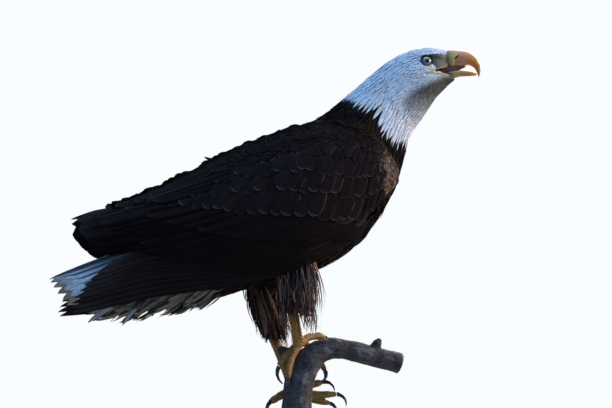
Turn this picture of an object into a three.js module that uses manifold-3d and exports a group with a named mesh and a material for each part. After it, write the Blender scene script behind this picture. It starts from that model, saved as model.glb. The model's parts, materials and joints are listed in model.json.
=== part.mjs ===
// A life-size adult bald eagle, wings folded and bill a little open, gripping the knee of a cut
// branch that a plain display stand carries.
//
// Millimetres, +Z up. The bird heads along +X and its left side is +Y. The bird is laid out from the
// shoulder of the branch under its right foot, and the finished group is then moved so that the
// origin is the centre of its bounding box, at the floor.
import * as THREE from "three";
import { mergeVertices } from "three/addons/utils/BufferGeometryUtils.js";
import Module from "manifold-3d";

const wasm = await Module();
wasm.setup();

// ---- Driving dimensions ------------------------------------------------------------------------

const GAP = 0.55; // how far a neighbour is swollen before it cuts a piece, so that they stay apart
const FINEST = 0.12; // facets smaller than this are melted into their neighbours after a cut
const HEAD_TURN = THREE.MathUtils.degToRad(-12); // the head looks a little to the right
const FLOOR = -302; // the floor, below the shoulder of the branch

const BODY_AROUND = 20;
const BODY_RINGS = 26;
const NECK_CUTS = [0.545, 0.745]; // where trunk meets neck and neck meets head, along the body

// The body from vent to forehead: place along it, x, z, half width, height above and below the line.
const BODY_STATIONS = [
  [0.0, -330, 70, 7, 5, 5],
  [0.06, -296, 82, 25, 26, 33],
  [0.14, -240, 110, 36, 46, 56],
  [0.23, -176, 152, 53, 75, 86],
  [0.32, -104, 190, 72, 98, 101],
  [0.41, -32, 223, 83, 108, 116],
  [0.49, 34, 259, 86, 108, 114],
  [0.56, 88, 304, 77, 99, 89],
  [0.63, 115, 342, 65, 85, 69],
  [0.7, 135, 376, 53, 71, 60],
  [0.77, 157, 406, 46, 61, 57],
  [0.84, 180, 433, 42, 55, 53],
  [0.91, 205, 454, 38.5, 47, 46],
  [0.96, 229, 466, 29, 36, 34],
  [1.0, 252, 471, 16, 24, 22],
];

// The folded wing from wrist to tips: place, x, y and z of the upper edge, y and z of the lower
// edge, how far it bows out between them, and its thickness.
const WING_STATIONS = [
  [0.0, 154, 73, 290, 74, 257, 5, 12],
  [0.07, 129, 70, 335, 79, 222, 20, 22],
  [0.2, 70, 60, 369, 88, 164, 38, 26],
  [0.34, -4, 46, 368, 95, 127, 52, 26],
  [0.47, -75, 31, 343, 95, 110, 54, 26],
  [0.6, -142, 22, 314, 90, 104, 50, 24],
  [0.72, -206, 18, 277, 80, 122, 37, 18],
  [0.85, -275, 15, 245, 66, 148, 26, 12],
  [0.95, -338, 13, 219, 50, 163, 15, 8],
  [1.0, -386, 18, 199, 34, 181, 6, 5],
];

// The folded primaries below and behind it, in the same columns.
const PRIMARY_STATIONS = [
  [0.0, -34, 80, 166, 86, 116, 6, 7],
  [0.25, -112, 84, 166, 88, 95, 8, 9],
  [0.5, -190, 80, 156, 85, 84, 8, 9],
  [0.72, -262, 71, 145, 80, 76, 7, 8],
  [0.9, -336, 60, 124, 73, 66, 5, 6],
  [1.0, -398, 56, 96, 63, 80, 2, 4],
];

const TAIL_ROOT = new THREE.Vector3(-150, 0, 206);
const TAIL_LENGTH = 286;
const TAIL_PITCH = 20.8; // degrees below level of the middle feathers
const TAIL_DROOP = 12; // further degrees at the outermost feathers
const TAIL_FAN = 13; // degrees that the outermost feathers spread

const EYE_RADIUS = 10.5;
const EYE_AT = { along: 4, out: 24.8, up: 10 }; // from the middle of the head
const HEAD_MIDDLE = new THREE.Vector3(208, 0, 462);

const STEM_RADIUS = 25.5;
const BASE_SIZE = { length: 380, width: 250, thickness: 22, corner: 40, bevel: 3 };
const ROD_RADIUS = 9;
const STEM_FOOT = -172; // height of the sawn lower end of the branch

const COLOURS = {
  dark: 0x2a211d,
  wing: 0x231c1a,
  white: 0xe9ecf0,
  bill: 0xd9952f,
  mouth: 0xb0605a,
  eye: 0xd8d6b0,
  foot: 0xd9a23a,
  claw: 0x17151a,
  bark: 0x6e6f74,
  rod: 0x8d9094,
  base: 0x3b2a20,
};

// ---- Tools -------------------------------------------------------------------------------------

const UP = new THREE.Vector3(0, 0, 1);
const AHEAD = new THREE.Vector3(1, 0, 0);

// A smooth table: each row starts with its place, 0 to 1, and the rest of its columns are blended.
function track(rows) {
  const places = rows.map((row) => row[0]);
  const values = rows.flatMap((row) => row.slice(1));
  const curve = new THREE.CubicInterpolant(places, values, rows[0].length - 1);
  return (t) => Array.from(curve.evaluate(THREE.MathUtils.clamp(t, 0, 1)));
}

// A closed body of rings square to a way through space. section(t) gives the ring's centre, its
// half width and its heights above and below that centre, and how square the ring is (2 is oval).
function sweep(around, rings, section, hint = UP) {
  const shape = new THREE.CylinderGeometry(1, 1, 1, around, rings);
  const places = shape.getAttribute("position");
  const step = 1e-3;
  for (let i = 0; i < places.count; i++) {
    const t = places.getY(i) + 0.5;
    const { at, half, above, below, square = 2 } = section(t);
    const before = section(Math.max(0, t - step)).at;
    const after = section(Math.min(1, t + step)).at;
    const forward = after.clone().sub(before).normalize();
    const right = new THREE.Vector3().crossVectors(forward, hint).normalize();
    const up = new THREE.Vector3().crossVectors(right, forward);
    const across = places.getX(i);
    const rise = places.getZ(i);
    const size = Math.hypot(across, rise);
    const bulge = (v) => Math.sign(v) * size * Math.abs(v / (size || 1)) ** (2 / square);
    const point = at.clone();
    point.addScaledVector(right, half * bulge(across));
    point.addScaledVector(up, (rise > 0 ? above : below) * bulge(rise));
    places.setXYZ(i, point.x, point.y, point.z);
  }
  return shape;
}

// A closed plate. place(a, b) gives its outer face, a from 0 to 1 along it and b from -1 to 1
// across it, and thickness(a, b) how far it goes in from there.
function plate(along, across, place, thickness) {
  const shape = new THREE.BoxGeometry(1, 1, 1, along, across, 1);
  const places = shape.getAttribute("position");
  const step = 1e-3;
  for (let i = 0; i < places.count; i++) {
    const a = places.getX(i) + 0.5;
    const b = places.getY(i) * 2;
    const depth = places.getZ(i) + 0.5;
    const a0 = THREE.MathUtils.clamp(a, step, 1 - step);
    const b0 = THREE.MathUtils.clamp(b, step - 1, 1 - step);
    const along0 = place(a0 + step, b0).sub(place(a0 - step, b0));
    const across0 = place(a0, b0 + step).sub(place(a0, b0 - step));
    const inward = new THREE.Vector3().crossVectors(along0, across0).normalize();
    const point = place(a, b).addScaledVector(inward, depth * thickness(a, b));
    places.setXYZ(i, point.x, point.y, point.z);
  }
  return shape;
}

function merged(geometry) {
  const bare = geometry.clone();
  bare.deleteAttribute("normal");
  bare.deleteAttribute("uv");
  return mergeVertices(bare, 1e-3);
}

function solid(geometry) {
  const shape = merged(geometry);
  const mesh = new wasm.Mesh({
    numProp: 3,
    vertProperties: new Float32Array(shape.getAttribute("position").array),
    triVerts: new Uint32Array(shape.index.array),
  });
  return new wasm.Manifold(mesh);
}

// The outward normals of the facets that meet at each corner.
function facetNormals(shape) {
  const places = shape.getAttribute("position");
  const corners = shape.index.array;
  const normals = Array.from({ length: places.count }, () => []);
  for (let i = 0; i < corners.length; i += 3) {
    const three = [corners[i], corners[i + 1], corners[i + 2]];
    const points = three.map((corner) => new THREE.Vector3().fromBufferAttribute(places, corner));
    const normal = new THREE.Triangle(...points).getNormal(new THREE.Vector3());
    three.forEach((corner) => normals[corner].push(normal));
  }
  return normals;
}

// The same body with every facet moved out by a little, to cut a neighbour with clearance.
function swollen(geometry, by = GAP) {
  const shape = merged(geometry);
  const places = shape.getAttribute("position");
  const normals = facetNormals(shape);
  for (let i = 0; i < places.count; i++) {
    const mean = normals[i].reduce((sum, one) => sum.add(one), new THREE.Vector3()).normalize();
    const least = Math.min(...normals[i].map((one) => one.dot(mean)));
    const point = new THREE.Vector3().fromBufferAttribute(places, i);
    point.addScaledVector(mean, by / Math.max(least, 0.4));
    places.setXYZ(i, point.x, point.y, point.z);
  }
  return solid(shape).add(solid(geometry));
}

function mirrored(geometry) {
  const shape = merged(geometry);
  shape.scale(1, -1, 1);
  const corners = shape.index.array;
  for (let i = 0; i < corners.length; i += 3) {
    [corners[i + 1], corners[i + 2]] = [corners[i + 2], corners[i + 1]];
  }
  return shape;
}

function geometryOf(body) {
  const mesh = body.getMesh();
  const geometry = new THREE.BufferGeometry();
  geometry.setAttribute("position", new THREE.BufferAttribute(mesh.vertProperties, 3));
  geometry.setIndex(new THREE.BufferAttribute(mesh.triVerts, 1));
  return geometry;
}

// What is left of a body once its neighbours are cut away: its largest piece.
function cut(body, ...cutters) {
  const left = cutters.reduce((rest, cutter) => rest.subtract(cutter), body);
  const pieces = left.simplify(FINEST).decompose();
  return pieces.sort((a, b) => b.volume() - a.volume())[0];
}

const eagle = new THREE.Group();

function add(name, body, colour, roughness = 0.75, metalness = 0) {
  const geometry = geometryOf(body);
  geometry.computeVertexNormals();
  const material = new THREE.MeshStandardMaterial({ color: COLOURS[colour], roughness, metalness });
  const mesh = new THREE.Mesh(geometry, material);
  mesh.name = name;
  eagle.add(mesh);
}

// ---- Trunk, neck and head ----------------------------------------------------------------------

const bodyTrack = track(BODY_STATIONS);

// The neck swings the head to one side: how far the body's line has moved over at this height.
function sideways(x) {
  const ahead = Math.max(0, x - 95);
  return Math.tan(HEAD_TURN) * (ahead - 60 * (1 - Math.exp(-ahead / 60)));
}

function bodySection(t) {
  const [x, z, half, above, below] = bodyTrack(t);
  const at = new THREE.Vector3(x, sideways(x), z);
  return { at, half, above, below, square: 2.05 };
}

const bodyShape = sweep(BODY_AROUND, BODY_RINGS, bodySection);
const wholeBody = solid(bodyShape);

// Points of the head are given from its middle, along the bill, out to its left, and up.
const headMiddle = HEAD_MIDDLE.clone().setY(sideways(HEAD_MIDDLE.x));

function onHead(along, out, up) {
  return new THREE.Vector3(along, out, up).applyAxisAngle(UP, HEAD_TURN).add(headMiddle);
}

// A thin slab across the body, square to it.
function bodySlab(t) {
  const at = bodySection(t).at;
  const forward = bodySection(t + 1e-3).at.sub(bodySection(t - 1e-3).at).normalize();
  const slab = new THREE.BoxGeometry(0.5, 300, 300);
  slab.applyQuaternion(new THREE.Quaternion().setFromUnitVectors(AHEAD, forward));
  slab.translate(at.x, at.y, at.z);
  return slab;
}

// A point on the body's surface: place along it, turn up from level in degrees, and how far out.
function onBody(t, side, turn, out) {
  const { at, half, above } = bodySection(t);
  const forward = bodySection(t).at.sub(bodySection(t - 1e-3).at).normalize();
  const right = new THREE.Vector3().crossVectors(forward, UP).normalize();
  const up = new THREE.Vector3().crossVectors(right, forward);
  const angle = THREE.MathUtils.degToRad(turn);
  at.addScaledVector(right, -side * (half + out) * Math.cos(angle));
  return at.addScaledVector(up, (above + out) * Math.sin(angle));
}

// The brow, a ridge that shades each eye and runs from the bill to behind it.
function brow(side) {
  const way = new THREE.CatmullRomCurve3([
    onBody(0.995, side, 26, -4),
    onBody(0.972, side, 27, -1.5),
    onBody(0.94, side, 34, -1.2),
    onBody(0.9, side, 42, -4),
  ]);
  return sweep(8, 6, (t) => {
    const thick = 1.6 + 4 * Math.sin(Math.PI * (0.12 + 0.76 * t));
    return { at: way.getPoint(t), half: thick, above: thick * 0.8, below: thick * 0.8 };
  });
}

// ---- Bill and mouth ----------------------------------------------------------------------------

// Upper bill from inside the forehead to the tip of the hook: place, along, up, half width,
// height above and below the line.
const UPPER_BILL = track([
  [0.0, 30, 15.5, 13.5, 13, 12],
  [0.2, 45, 19.4, 13.2, 13.2, 12.4],
  [0.4, 60, 20.6, 12, 12.6, 13],
  [0.57, 74, 19, 10.2, 11.2, 11.4],
  [0.72, 85, 13.4, 7.8, 8.2, 8.6],
  [0.86, 92, 3.5, 5, 5, 5.4],
  [1.0, 93.5, -12.5, 0.8, 0.8, 0.8],
]);

// Lower bill, in the same columns.
const LOWER_BILL = track([
  [0.0, 24, -8.5, 11.5, 3.6, 5.5],
  [0.3, 44, -7, 11.4, 4, 6],
  [0.6, 63, -5.6, 10, 4.2, 5.8],
  [0.85, 80, -6, 7, 3.6, 4.8],
  [1.0, 90, -7.6, 2.2, 1.3, 1.8],
]);

function billShape(rows, around, rings, square) {
  return sweep(around, rings, (t) => {
    const [along, up, half, above, below] = rows(t);
    return { at: onHead(along, 0, up), half, above, below, square };
  });
}

const upperBill = billShape(UPPER_BILL, 12, 12, 2.1);
const lowerBill = billShape(LOWER_BILL, 12, 8, 2.3);

// The open mouth, a wedge from the corner of the gape to the front.
const mouthOutline = new THREE.Shape();
mouthOutline.moveTo(3, -8);
mouthOutline.quadraticCurveTo(28, -2, 48, 7.4);
mouthOutline.lineTo(64, 7.4);
mouthOutline.lineTo(64, -2.4);
mouthOutline.lineTo(36, -4);
mouthOutline.closePath();
const mouthCut = { depth: 90, bevelEnabled: false, curveSegments: 5 };
const mouth = new THREE.ExtrudeGeometry(mouthOutline, mouthCut);
mouth.rotateX(Math.PI / 2);
mouth.translate(0, 45, 0);
mouth.rotateZ(HEAD_TURN);
mouth.translate(headMiddle.x, headMiddle.y, headMiddle.z);

const tongue = sweep(8, 4, (t) => {
  const size = Math.sin(Math.PI * (0.2 + 0.74 * t));
  const at = onHead(35 + 28 * t, 0, -1.2 + 0.8 * t);
  return { at, half: 5.2 * size, above: 1.5 * size, below: 1.5 * size };
});

// ---- Eyes --------------------------------------------------------------------------------------

function eyeball(side) {
  const shape = new THREE.SphereGeometry(EYE_RADIUS, 12, 8);
  const at = onHead(EYE_AT.along, side * EYE_AT.out, EYE_AT.up);
  return shape.translate(at.x, at.y, at.z);
}

const eyes = { right: eyeball(-1), left: eyeball(1) };

// ---- Wings, primaries and tail -----------------------------------------------------------------

function foldedPlate(rows, along, across, roundEdge) {
  const at = track(rows);
  const place = (a, b) => {
    const [x, upperY, upperZ, lowerY, lowerZ, bow] = at(a);
    const share = (b + 1) / 2;
    const edge = new THREE.Vector2(lowerY - upperY, lowerZ - upperZ).normalize();
    const out = bow * (1 - b * b) ** roundEdge;
    const y = THREE.MathUtils.lerp(upperY, lowerY, share) - edge.y * out;
    const z = THREE.MathUtils.lerp(upperZ, lowerZ, share) + edge.x * out;
    return new THREE.Vector3(x, y, z);
  };
  return plate(along, across, place, (a, b) => at(a)[6] * (1 - 0.6 * b ** 4));
}

const leftWing = foldedPlate(WING_STATIONS, 13, 7, 0.8);
const leftPrimaries = foldedPlate(PRIMARY_STATIONS, 8, 4, 1);

// A fan of feathers: those at its edges start lower, droop and spread.
function tailPlace(a, b) {
  const edge = Math.abs(b);
  const pitch = THREE.MathUtils.degToRad(TAIL_PITCH + TAIL_DROOP * edge ** 1.6);
  const spread = THREE.MathUtils.degToRad(TAIL_FAN * b);
  const length = TAIL_LENGTH * (1 - 0.045 * edge ** 2) * a;
  const level = Math.cos(pitch) * length;
  return new THREE.Vector3(
    TAIL_ROOT.x + 8 * edge - level * Math.cos(spread),
    24 * b + level * Math.sin(spread),
    TAIL_ROOT.z - 18 * edge ** 2 - Math.sin(pitch) * length,
  );
}

const tailShape = plate(6, 10, tailPlace, (a, b) => (9 - 5.5 * a) * (1 - 0.5 * b ** 4));

// ---- Legs --------------------------------------------------------------------------------------

// Each leg: the feathered thigh's stations (place, x, y, z, half width across, front and back), the
// heel joint and the ball of the foot.
const LEGS = {
  right: {
    thigh: [
      [0.0, -12, -50, 190, 31, 36, 42],
      [0.3, -16, -51, 136, 33, 31, 35],
      [0.55, -17, -46, 92, 28, 29, 32],
      [0.8, -15, -38, 54, 18, 22, 27],
      [1.0, -13, -30, 27, 10, 12, 16],
    ],
    heel: new THREE.Vector3(-24, -38, 84),
    ball: new THREE.Vector3(-5, -11, -1),
  },
  left: {
    thigh: [
      [0.0, -48, 50, 172, 31, 43, 42],
      [0.3, -52, 51, 118, 33, 38, 36],
      [0.55, -50, 47, 76, 27, 36, 29],
      [0.8, -43, 43, 36, 17, 27, 19],
      [1.0, -35, 41, 4, 10, 15, 10],
    ],
    heel: new THREE.Vector3(-40, 44, 24),
    ball: new THREE.Vector3(-3, 36, -72),
  },
};

function thighShape(leg) {
  const at = track(leg.thigh);
  return sweep(
    12,
    8,
    (t) => {
      const [x, y, z, half, above, below] = at(t);
      return { at: new THREE.Vector3(x, y, z), half, above, below };
    },
    AHEAD,
  );
}

function shankShape(leg) {
  return sweep(
    10,
    4,
    (t) => {
      const at = leg.heel.clone().lerp(leg.ball, t);
      const thick = 7.4 + 1.6 * (2 * t - 1) ** 2;
      return { at, half: thick, above: thick * 1.1, below: thick * 1.1 };
    },
    AHEAD,
  );
}

// ---- Branch ------------------------------------------------------------------------------------

const branchWay = new THREE.CatmullRomCurve3([
  new THREE.Vector3(-6, 0, STEM_FOOT),
  new THREE.Vector3(-6, 0, -125),
  new THREE.Vector3(-5, 0, -91),
  new THREE.Vector3(-1, 0, -58),
  new THREE.Vector3(9, 0, -34),
  new THREE.Vector3(26, 0, -15),
  new THREE.Vector3(52, 1, -5),
  new THREE.Vector3(84, 2, -8),
  new THREE.Vector3(120, 3, -17),
  new THREE.Vector3(172, 5, -29),
]);

function branchThickness(t) {
  return STEM_RADIUS - 8 * THREE.MathUtils.smoothstep(t, 0.35, 0.75) + 0.5 * Math.sin(40 * t);
}

const branch = sweep(
  12,
  16,
  (t) => {
    const thick = branchThickness(t);
    return { at: branchWay.getPoint(t), half: thick, above: thick, below: thick };
  },
  new THREE.Vector3(-1, 0, 1),
);

// A short round-ended stump, such as a broken side shoot leaves.
function stump(from, to, radius) {
  return sweep(
    9,
    4,
    (t) => {
      const thick = radius * Math.sqrt(1 - 0.82 * t ** 4);
      return { at: from.clone().lerp(to, t), half: thick, above: thick, below: thick };
    },
    new THREE.Vector3(0, 1, 0),
  );
}

const stumps = [
  stump(new THREE.Vector3(0, 8, -30), new THREE.Vector3(-34, 12, -4), 12.5),
  stump(new THREE.Vector3(122, 1, -14), new THREE.Vector3(135, -4, 12), 9.5),
];

const perch = stumps.reduce((whole, one) => whole.add(solid(one)), solid(branch));
const perchSwollen = stumps.reduce((whole, one) => whole.add(swollen(one)), swollen(branch));

// ---- Feet --------------------------------------------------------------------------------------

const TOE_THICK = { hallux: 7.6, inner: 7.2, middle: 7, outer: 6.4 };
const CLAW_LENGTH = { hallux: 41, inner: 38, middle: 33, outer: 29 };
const CLAW_TURN = 1.9; // radians that a claw hooks through
const TOE_UP = { right: new THREE.Vector3(0, -1, 0.6), left: UP };

// The way each toe takes from the ball of the foot, and where its claw hooks to. The right foot
// stands on the shoulder of the branch and the left foot clasps the far side of the stem.
const TOES = {
  right: {
    hallux: { way: [[-24, -9, -18], [-36, -5, -35]], hook: [1, 0, -0.2] },
    inner: { way: [[18, 4, 14], [46, 15, 13]], hook: [0, 0.5, -0.9] },
    middle: { way: [[12, 19, 4], [33, 27, -16], [46, 18, -41]], hook: [-1, -0.3, -0.1] },
    outer: { way: [[-20, -19, -28], [-24, -20, -56]], hook: [0.8, 0.5, -0.2] },
  },
  left: {
    hallux: { way: [[-26, 34, -83], [-44, 26, -93]], hook: [0.3, -0.4, -1] },
    inner: { way: [[22, 32, -66], [42, 22, -60]], hook: [-0.25, -0.3, -1] },
    middle: { way: [[30, 34, -80], [67, 24, -80]], hook: [-0.1, -0.2, -1] },
    outer: { way: [[24, 35, -88], [56, 26, -95]], hook: [-0.2, -0.2, -1] },
  },
};

const barkLine = branchWay.getPoints(80);

// Lifts a point until a toe of this thickness rests on the bark there instead of sinking in.
function clearOfBark(point, thick) {
  const nearest = barkLine.reduce((a, b) => (a.distanceTo(point) < b.distanceTo(point) ? a : b));
  const clear = branchThickness(barkLine.indexOf(nearest) / 80) + thick + GAP;
  const away = point.clone().sub(nearest);
  return away.length() < clear ? nearest.clone().add(away.setLength(clear)) : point;
}

function toeWay(side, toe) {
  const points = TOES[side][toe].way.map((place) => new THREE.Vector3(...place));
  return new THREE.CatmullRomCurve3([LEGS[side].ball, ...points], false, "chordal");
}

function toeShape(side, toe) {
  const way = toeWay(side, toe);
  return sweep(
    8,
    6,
    (t) => {
      const pads = 0.5 * Math.sin(3 * Math.PI * t) ** 2;
      const thick = TOE_THICK[toe] * (1 - 0.2 * t) * (t > 0.99 ? 0.75 : 1) + pads;
      return { at: clearOfBark(way.getPoint(t), thick), half: thick, above: thick, below: thick };
    },
    TOE_UP[side],
  );
}

// A claw goes on from its toe's end and hooks round towards the branch.
function clawShape(side, toe) {
  const way = toeWay(side, toe);
  const tip = (t) => clearOfBark(way.getPoint(t), TOE_THICK[toe] * 0.8);
  const ahead = tip(1).sub(tip(0.94)).normalize();
  const hook = new THREE.Vector3(...TOES[side][toe].hook);
  const pivot = new THREE.Vector3().crossVectors(ahead, hook).normalize();
  const inward = new THREE.Vector3().crossVectors(pivot, ahead);
  const root = tip(1).addScaledVector(ahead, -1);
  const reach = CLAW_LENGTH[toe] / CLAW_TURN;
  const centre = root.clone().addScaledVector(inward, reach);
  return sweep(
    6,
    5,
    (t) => {
      const arm = inward.clone().multiplyScalar(-reach).applyAxisAngle(pivot, CLAW_TURN * t);
      const thick = 4.8 * (1 - t) ** 0.8 + 0.4;
      return { at: arm.add(centre), half: thick * 0.85, above: thick, below: thick };
    },
    pivot,
  );
}

// ---- Assembly ----------------------------------------------------------------------------------

const trunkSwollen = swollen(bodyShape);

function splitBody() {
  const slabs = NECK_CUTS.map((t) => solid(bodySlab(t)));
  const shaped = wholeBody.add(solid(brow(-1))).add(solid(brow(1)));
  const sawn = slabs.reduce((rest, slab) => rest.subtract(slab), shaped);
  const byHeight = (piece) => piece.boundingBox().max[2];
  const pieces = sawn.decompose().sort((a, b) => byHeight(a) - byHeight(b));
  const [trunk, neck, head] = pieces;
  const billCuts = [swollen(upperBill), swollen(lowerBill), solid(mouth)];
  const eyeCuts = [swollen(eyes.right), swollen(eyes.left)];
  add("trunk", trunk, "dark");
  add("neck", neck, "white");
  add("head", cut(head, ...billCuts, ...eyeCuts), "white");
}

function addFace() {
  const tongueCut = cut(solid(tongue), swollen(lowerBill), swollen(upperBill));
  add("bill_upper", solid(upperBill), "bill", 0.4);
  add("bill_lower", cut(solid(lowerBill), swollen(upperBill)), "bill", 0.4);
  add("tongue", tongueCut, "mouth", 0.5);
  add("eye_right", solid(eyes.right), "eye", 0.15);
  add("eye_left", solid(eyes.left), "eye", 0.15);
}

function addSide(name, wing, primaries) {
  const leg = LEGS[name];
  const thigh = thighShape(leg);
  const shank = shankShape(leg);
  add(`wing_${name}`, cut(solid(wing), trunkSwollen), "wing");
  const primaryCuts = [trunkSwollen, swollen(wing), swollen(tailShape), swollen(thigh)];
  add(`primaries_${name}`, cut(solid(primaries), ...primaryCuts), "wing");
  const thighCuts = [trunkSwollen, swollen(wing), swollen(shank)];
  add(`thigh_${name}`, cut(solid(thigh), ...thighCuts, perchSwollen), "dark");
  add(`shank_${name}`, cut(solid(shank), trunkSwollen, perchSwollen), "foot", 0.5);
  addFoot(name, swollen(shank));
}

function addFoot(name, shankCut) {
  const taken = [shankCut, perchSwollen];
  for (const toe of Object.keys(TOES[name])) {
    const shape = toeShape(name, toe);
    const claw = clawShape(name, toe);
    add(`toe_${toe}_${name}`, cut(solid(shape), ...taken), "foot", 0.5);
    taken.push(swollen(shape));
    add(`claw_${toe}_${name}`, cut(solid(claw), ...taken), "claw", 0.3);
    taken.push(swollen(claw));
  }
}

function addStand() {
  const { length, width, thickness, corner, bevel } = BASE_SIZE;
  const outline = new THREE.Shape();
  const [x, y] = [length / 2 - bevel, width / 2 - bevel];
  outline.absarc(x - corner, y - corner, corner, 0, Math.PI / 2);
  outline.absarc(corner - x, y - corner, corner, Math.PI / 2, Math.PI);
  outline.absarc(corner - x, corner - y, corner, Math.PI, 1.5 * Math.PI);
  outline.absarc(x - corner, corner - y, corner, 1.5 * Math.PI, 2 * Math.PI);
  outline.closePath();
  const board = new THREE.ExtrudeGeometry(outline, {
    depth: thickness - 2 * bevel,
    bevelThickness: bevel,
    bevelSize: bevel,
    bevelSegments: 1,
    curveSegments: 4,
  });
  board.translate(-34, 0, FLOOR + bevel);
  const rodTop = STEM_FOOT - 0.8;
  const rodFoot = FLOOR + thickness + 0.4;
  const rod = new THREE.CylinderGeometry(ROD_RADIUS, ROD_RADIUS, rodTop - rodFoot, 24);
  rod.rotateX(Math.PI / 2);
  rod.translate(-6, 0, (rodTop + rodFoot) / 2);
  add("perch", perch, "bark", 0.9);
  add("stand_rod", solid(rod), "rod", 0.35, 0.9);
  add("stand_base", solid(board), "base", 0.45);
}

splitBody();
addFace();
add("tail", cut(solid(tailShape), trunkSwollen, swollen(leftWing), swollen(mirrored(leftWing))), "white");
addSide("left", leftWing, leftPrimaries);
addSide("right", mirrored(leftWing), mirrored(leftPrimaries));
addStand();

const box = new THREE.Box3().setFromObject(eagle);
const middle = box.getCenter(new THREE.Vector3());
eagle.position.set(-middle.x, -middle.y, -box.min.z);

export default eagle;
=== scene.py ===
"""A life-size adult bald eagle on a cut branch and a display stand: skin, feathers, bill, eyes,
feet, bark and stand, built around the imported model. Metres, +Z up, the bird heads along +X."""
import json
import math
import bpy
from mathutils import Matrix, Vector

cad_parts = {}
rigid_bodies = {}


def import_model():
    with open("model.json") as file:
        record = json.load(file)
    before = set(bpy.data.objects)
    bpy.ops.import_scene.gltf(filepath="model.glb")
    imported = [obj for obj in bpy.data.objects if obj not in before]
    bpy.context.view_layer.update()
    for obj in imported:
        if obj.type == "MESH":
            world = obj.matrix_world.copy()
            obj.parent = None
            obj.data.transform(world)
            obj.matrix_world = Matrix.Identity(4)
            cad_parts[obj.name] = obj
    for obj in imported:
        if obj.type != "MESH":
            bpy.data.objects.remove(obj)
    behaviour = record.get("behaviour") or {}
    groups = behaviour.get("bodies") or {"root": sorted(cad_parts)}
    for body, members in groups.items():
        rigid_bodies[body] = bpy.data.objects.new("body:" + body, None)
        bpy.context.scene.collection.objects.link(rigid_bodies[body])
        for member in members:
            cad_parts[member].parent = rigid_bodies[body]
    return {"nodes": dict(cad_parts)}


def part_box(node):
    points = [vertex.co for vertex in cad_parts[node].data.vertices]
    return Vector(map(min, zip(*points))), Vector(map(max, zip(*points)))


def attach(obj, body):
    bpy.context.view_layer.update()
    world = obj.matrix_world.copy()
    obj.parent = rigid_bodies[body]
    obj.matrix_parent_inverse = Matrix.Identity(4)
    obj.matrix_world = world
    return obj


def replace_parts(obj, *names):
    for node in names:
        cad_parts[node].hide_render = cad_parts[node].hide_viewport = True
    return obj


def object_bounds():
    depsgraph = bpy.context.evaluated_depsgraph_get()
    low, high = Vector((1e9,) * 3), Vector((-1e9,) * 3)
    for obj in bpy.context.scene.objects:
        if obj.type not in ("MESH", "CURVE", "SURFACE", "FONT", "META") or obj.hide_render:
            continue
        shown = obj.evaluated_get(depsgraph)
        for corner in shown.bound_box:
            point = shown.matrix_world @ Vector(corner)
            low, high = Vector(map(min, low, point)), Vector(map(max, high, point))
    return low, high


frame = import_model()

from types import SimpleNamespace

import bmesh
import bpy
import numpy as np
from mathutils import Matrix, Vector, noise
from mathutils.bvhtree import BVHTree
from mathutils.kdtree import KDTree

NODES = frame["nodes"]
CAD_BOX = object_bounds()
MM = 0.001
CHANCE = np.random.default_rng(17)
BILL_ROOT = 40.5    # millimetres ahead of the middle of the head

# ---- Where things are --------------------------------------------------------------------------

# The bird is laid out from the shoulder of the branch under its right foot, as the solids are.
ROD_LOW, ROD_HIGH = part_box("stand_rod")
ORIGIN = np.array([(ROD_LOW.x + ROD_HIGH.x) / 2 + 0.006, 0.0, CAD_BOX[0].z + 0.302])
HEAD_TURN = math.radians(-12)
HEAD_MIDDLE = ORIGIN + np.array([208, math.tan(HEAD_TURN) * 62, 462]) * MM
HEAD_AHEAD = np.array([math.cos(HEAD_TURN), math.sin(HEAD_TURN), 0.0])
HEAD_LEFT = np.array([-math.sin(HEAD_TURN), math.cos(HEAD_TURN), 0.0])
UP = np.array([0.0, 0.0, 1.0])

# The middle line of the body from vent to forehead: place, x, z.
BODY_LINE = [
    (0.0, -330, 70), (0.06, -296, 82), (0.14, -240, 110), (0.23, -176, 152), (0.32, -104, 190),
    (0.41, -32, 223), (0.49, 34, 259), (0.56, 88, 304), (0.63, 115, 342), (0.7, 135, 376),
    (0.77, 157, 406), (0.84, 180, 433), (0.91, 205, 454), (0.96, 229, 466), (1.0, 252, 471),
]

# The folded wing: place, x, y and z of its upper edge, y and z of its lower edge, its bow.
WING_LINE = [
    (0.0, 154, 73, 290, 74, 257, 5), (0.07, 129, 70, 335, 79, 222, 20),
    (0.2, 70, 60, 369, 88, 164, 38), (0.34, -4, 46, 368, 95, 127, 52),
    (0.47, -75, 31, 343, 95, 110, 54), (0.6, -142, 22, 314, 90, 104, 50),
    (0.72, -206, 18, 277, 80, 122, 37), (0.85, -275, 15, 245, 66, 148, 26),
    (0.95, -338, 13, 219, 50, 163, 15), (1.0, -386, 18, 199, 34, 181, 6),
]

# The folded primaries below it, in the same columns, tucked under the wing and blunt at the end.
PRIMARY_LINE = [
    (0.0, -34, 80, 166, 86, 116, 6), (0.25, -112, 84, 166, 88, 95, 8), (0.5, -190, 75, 160, 84, 84, 8),
    (0.72, -262, 60, 156, 80, 72, 7), (0.9, -336, 68, 134, 84, 54, 5), (1.0, -398, 66, 108, 82, 38, 3),
]

TAIL_ROOT = (-150, 0, 206)
TAIL_LENGTH = 286
TAIL_PITCH = 20.8
TAIL_DROOP = 8
TAIL_FAN = 10

# How low the feathers of the right and the left thigh grow, in millimetres.
BARE_BELOW = (54, 14)

# Where the white of the neck ends: degrees round from the nape to the throat, place on the line.
WHITE_ENDS = [(0, 0.682), (70, 0.655), (105, 0.634), (140, 0.624), (165, 0.645), (180, 0.685)]

SIDES = {"left": 1, "right": -1}
TOES = ["hallux", "inner", "middle", "outer"]
LIMBS = ["thigh", "shank", *(f"toe_{toe}" for toe in TOES)]
FLESH = ["head", "neck", "trunk", "wing_left", "wing_right"]
FLESH += [f"{limb}_{word}" for limb in LIMBS for word in SIDES]


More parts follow.
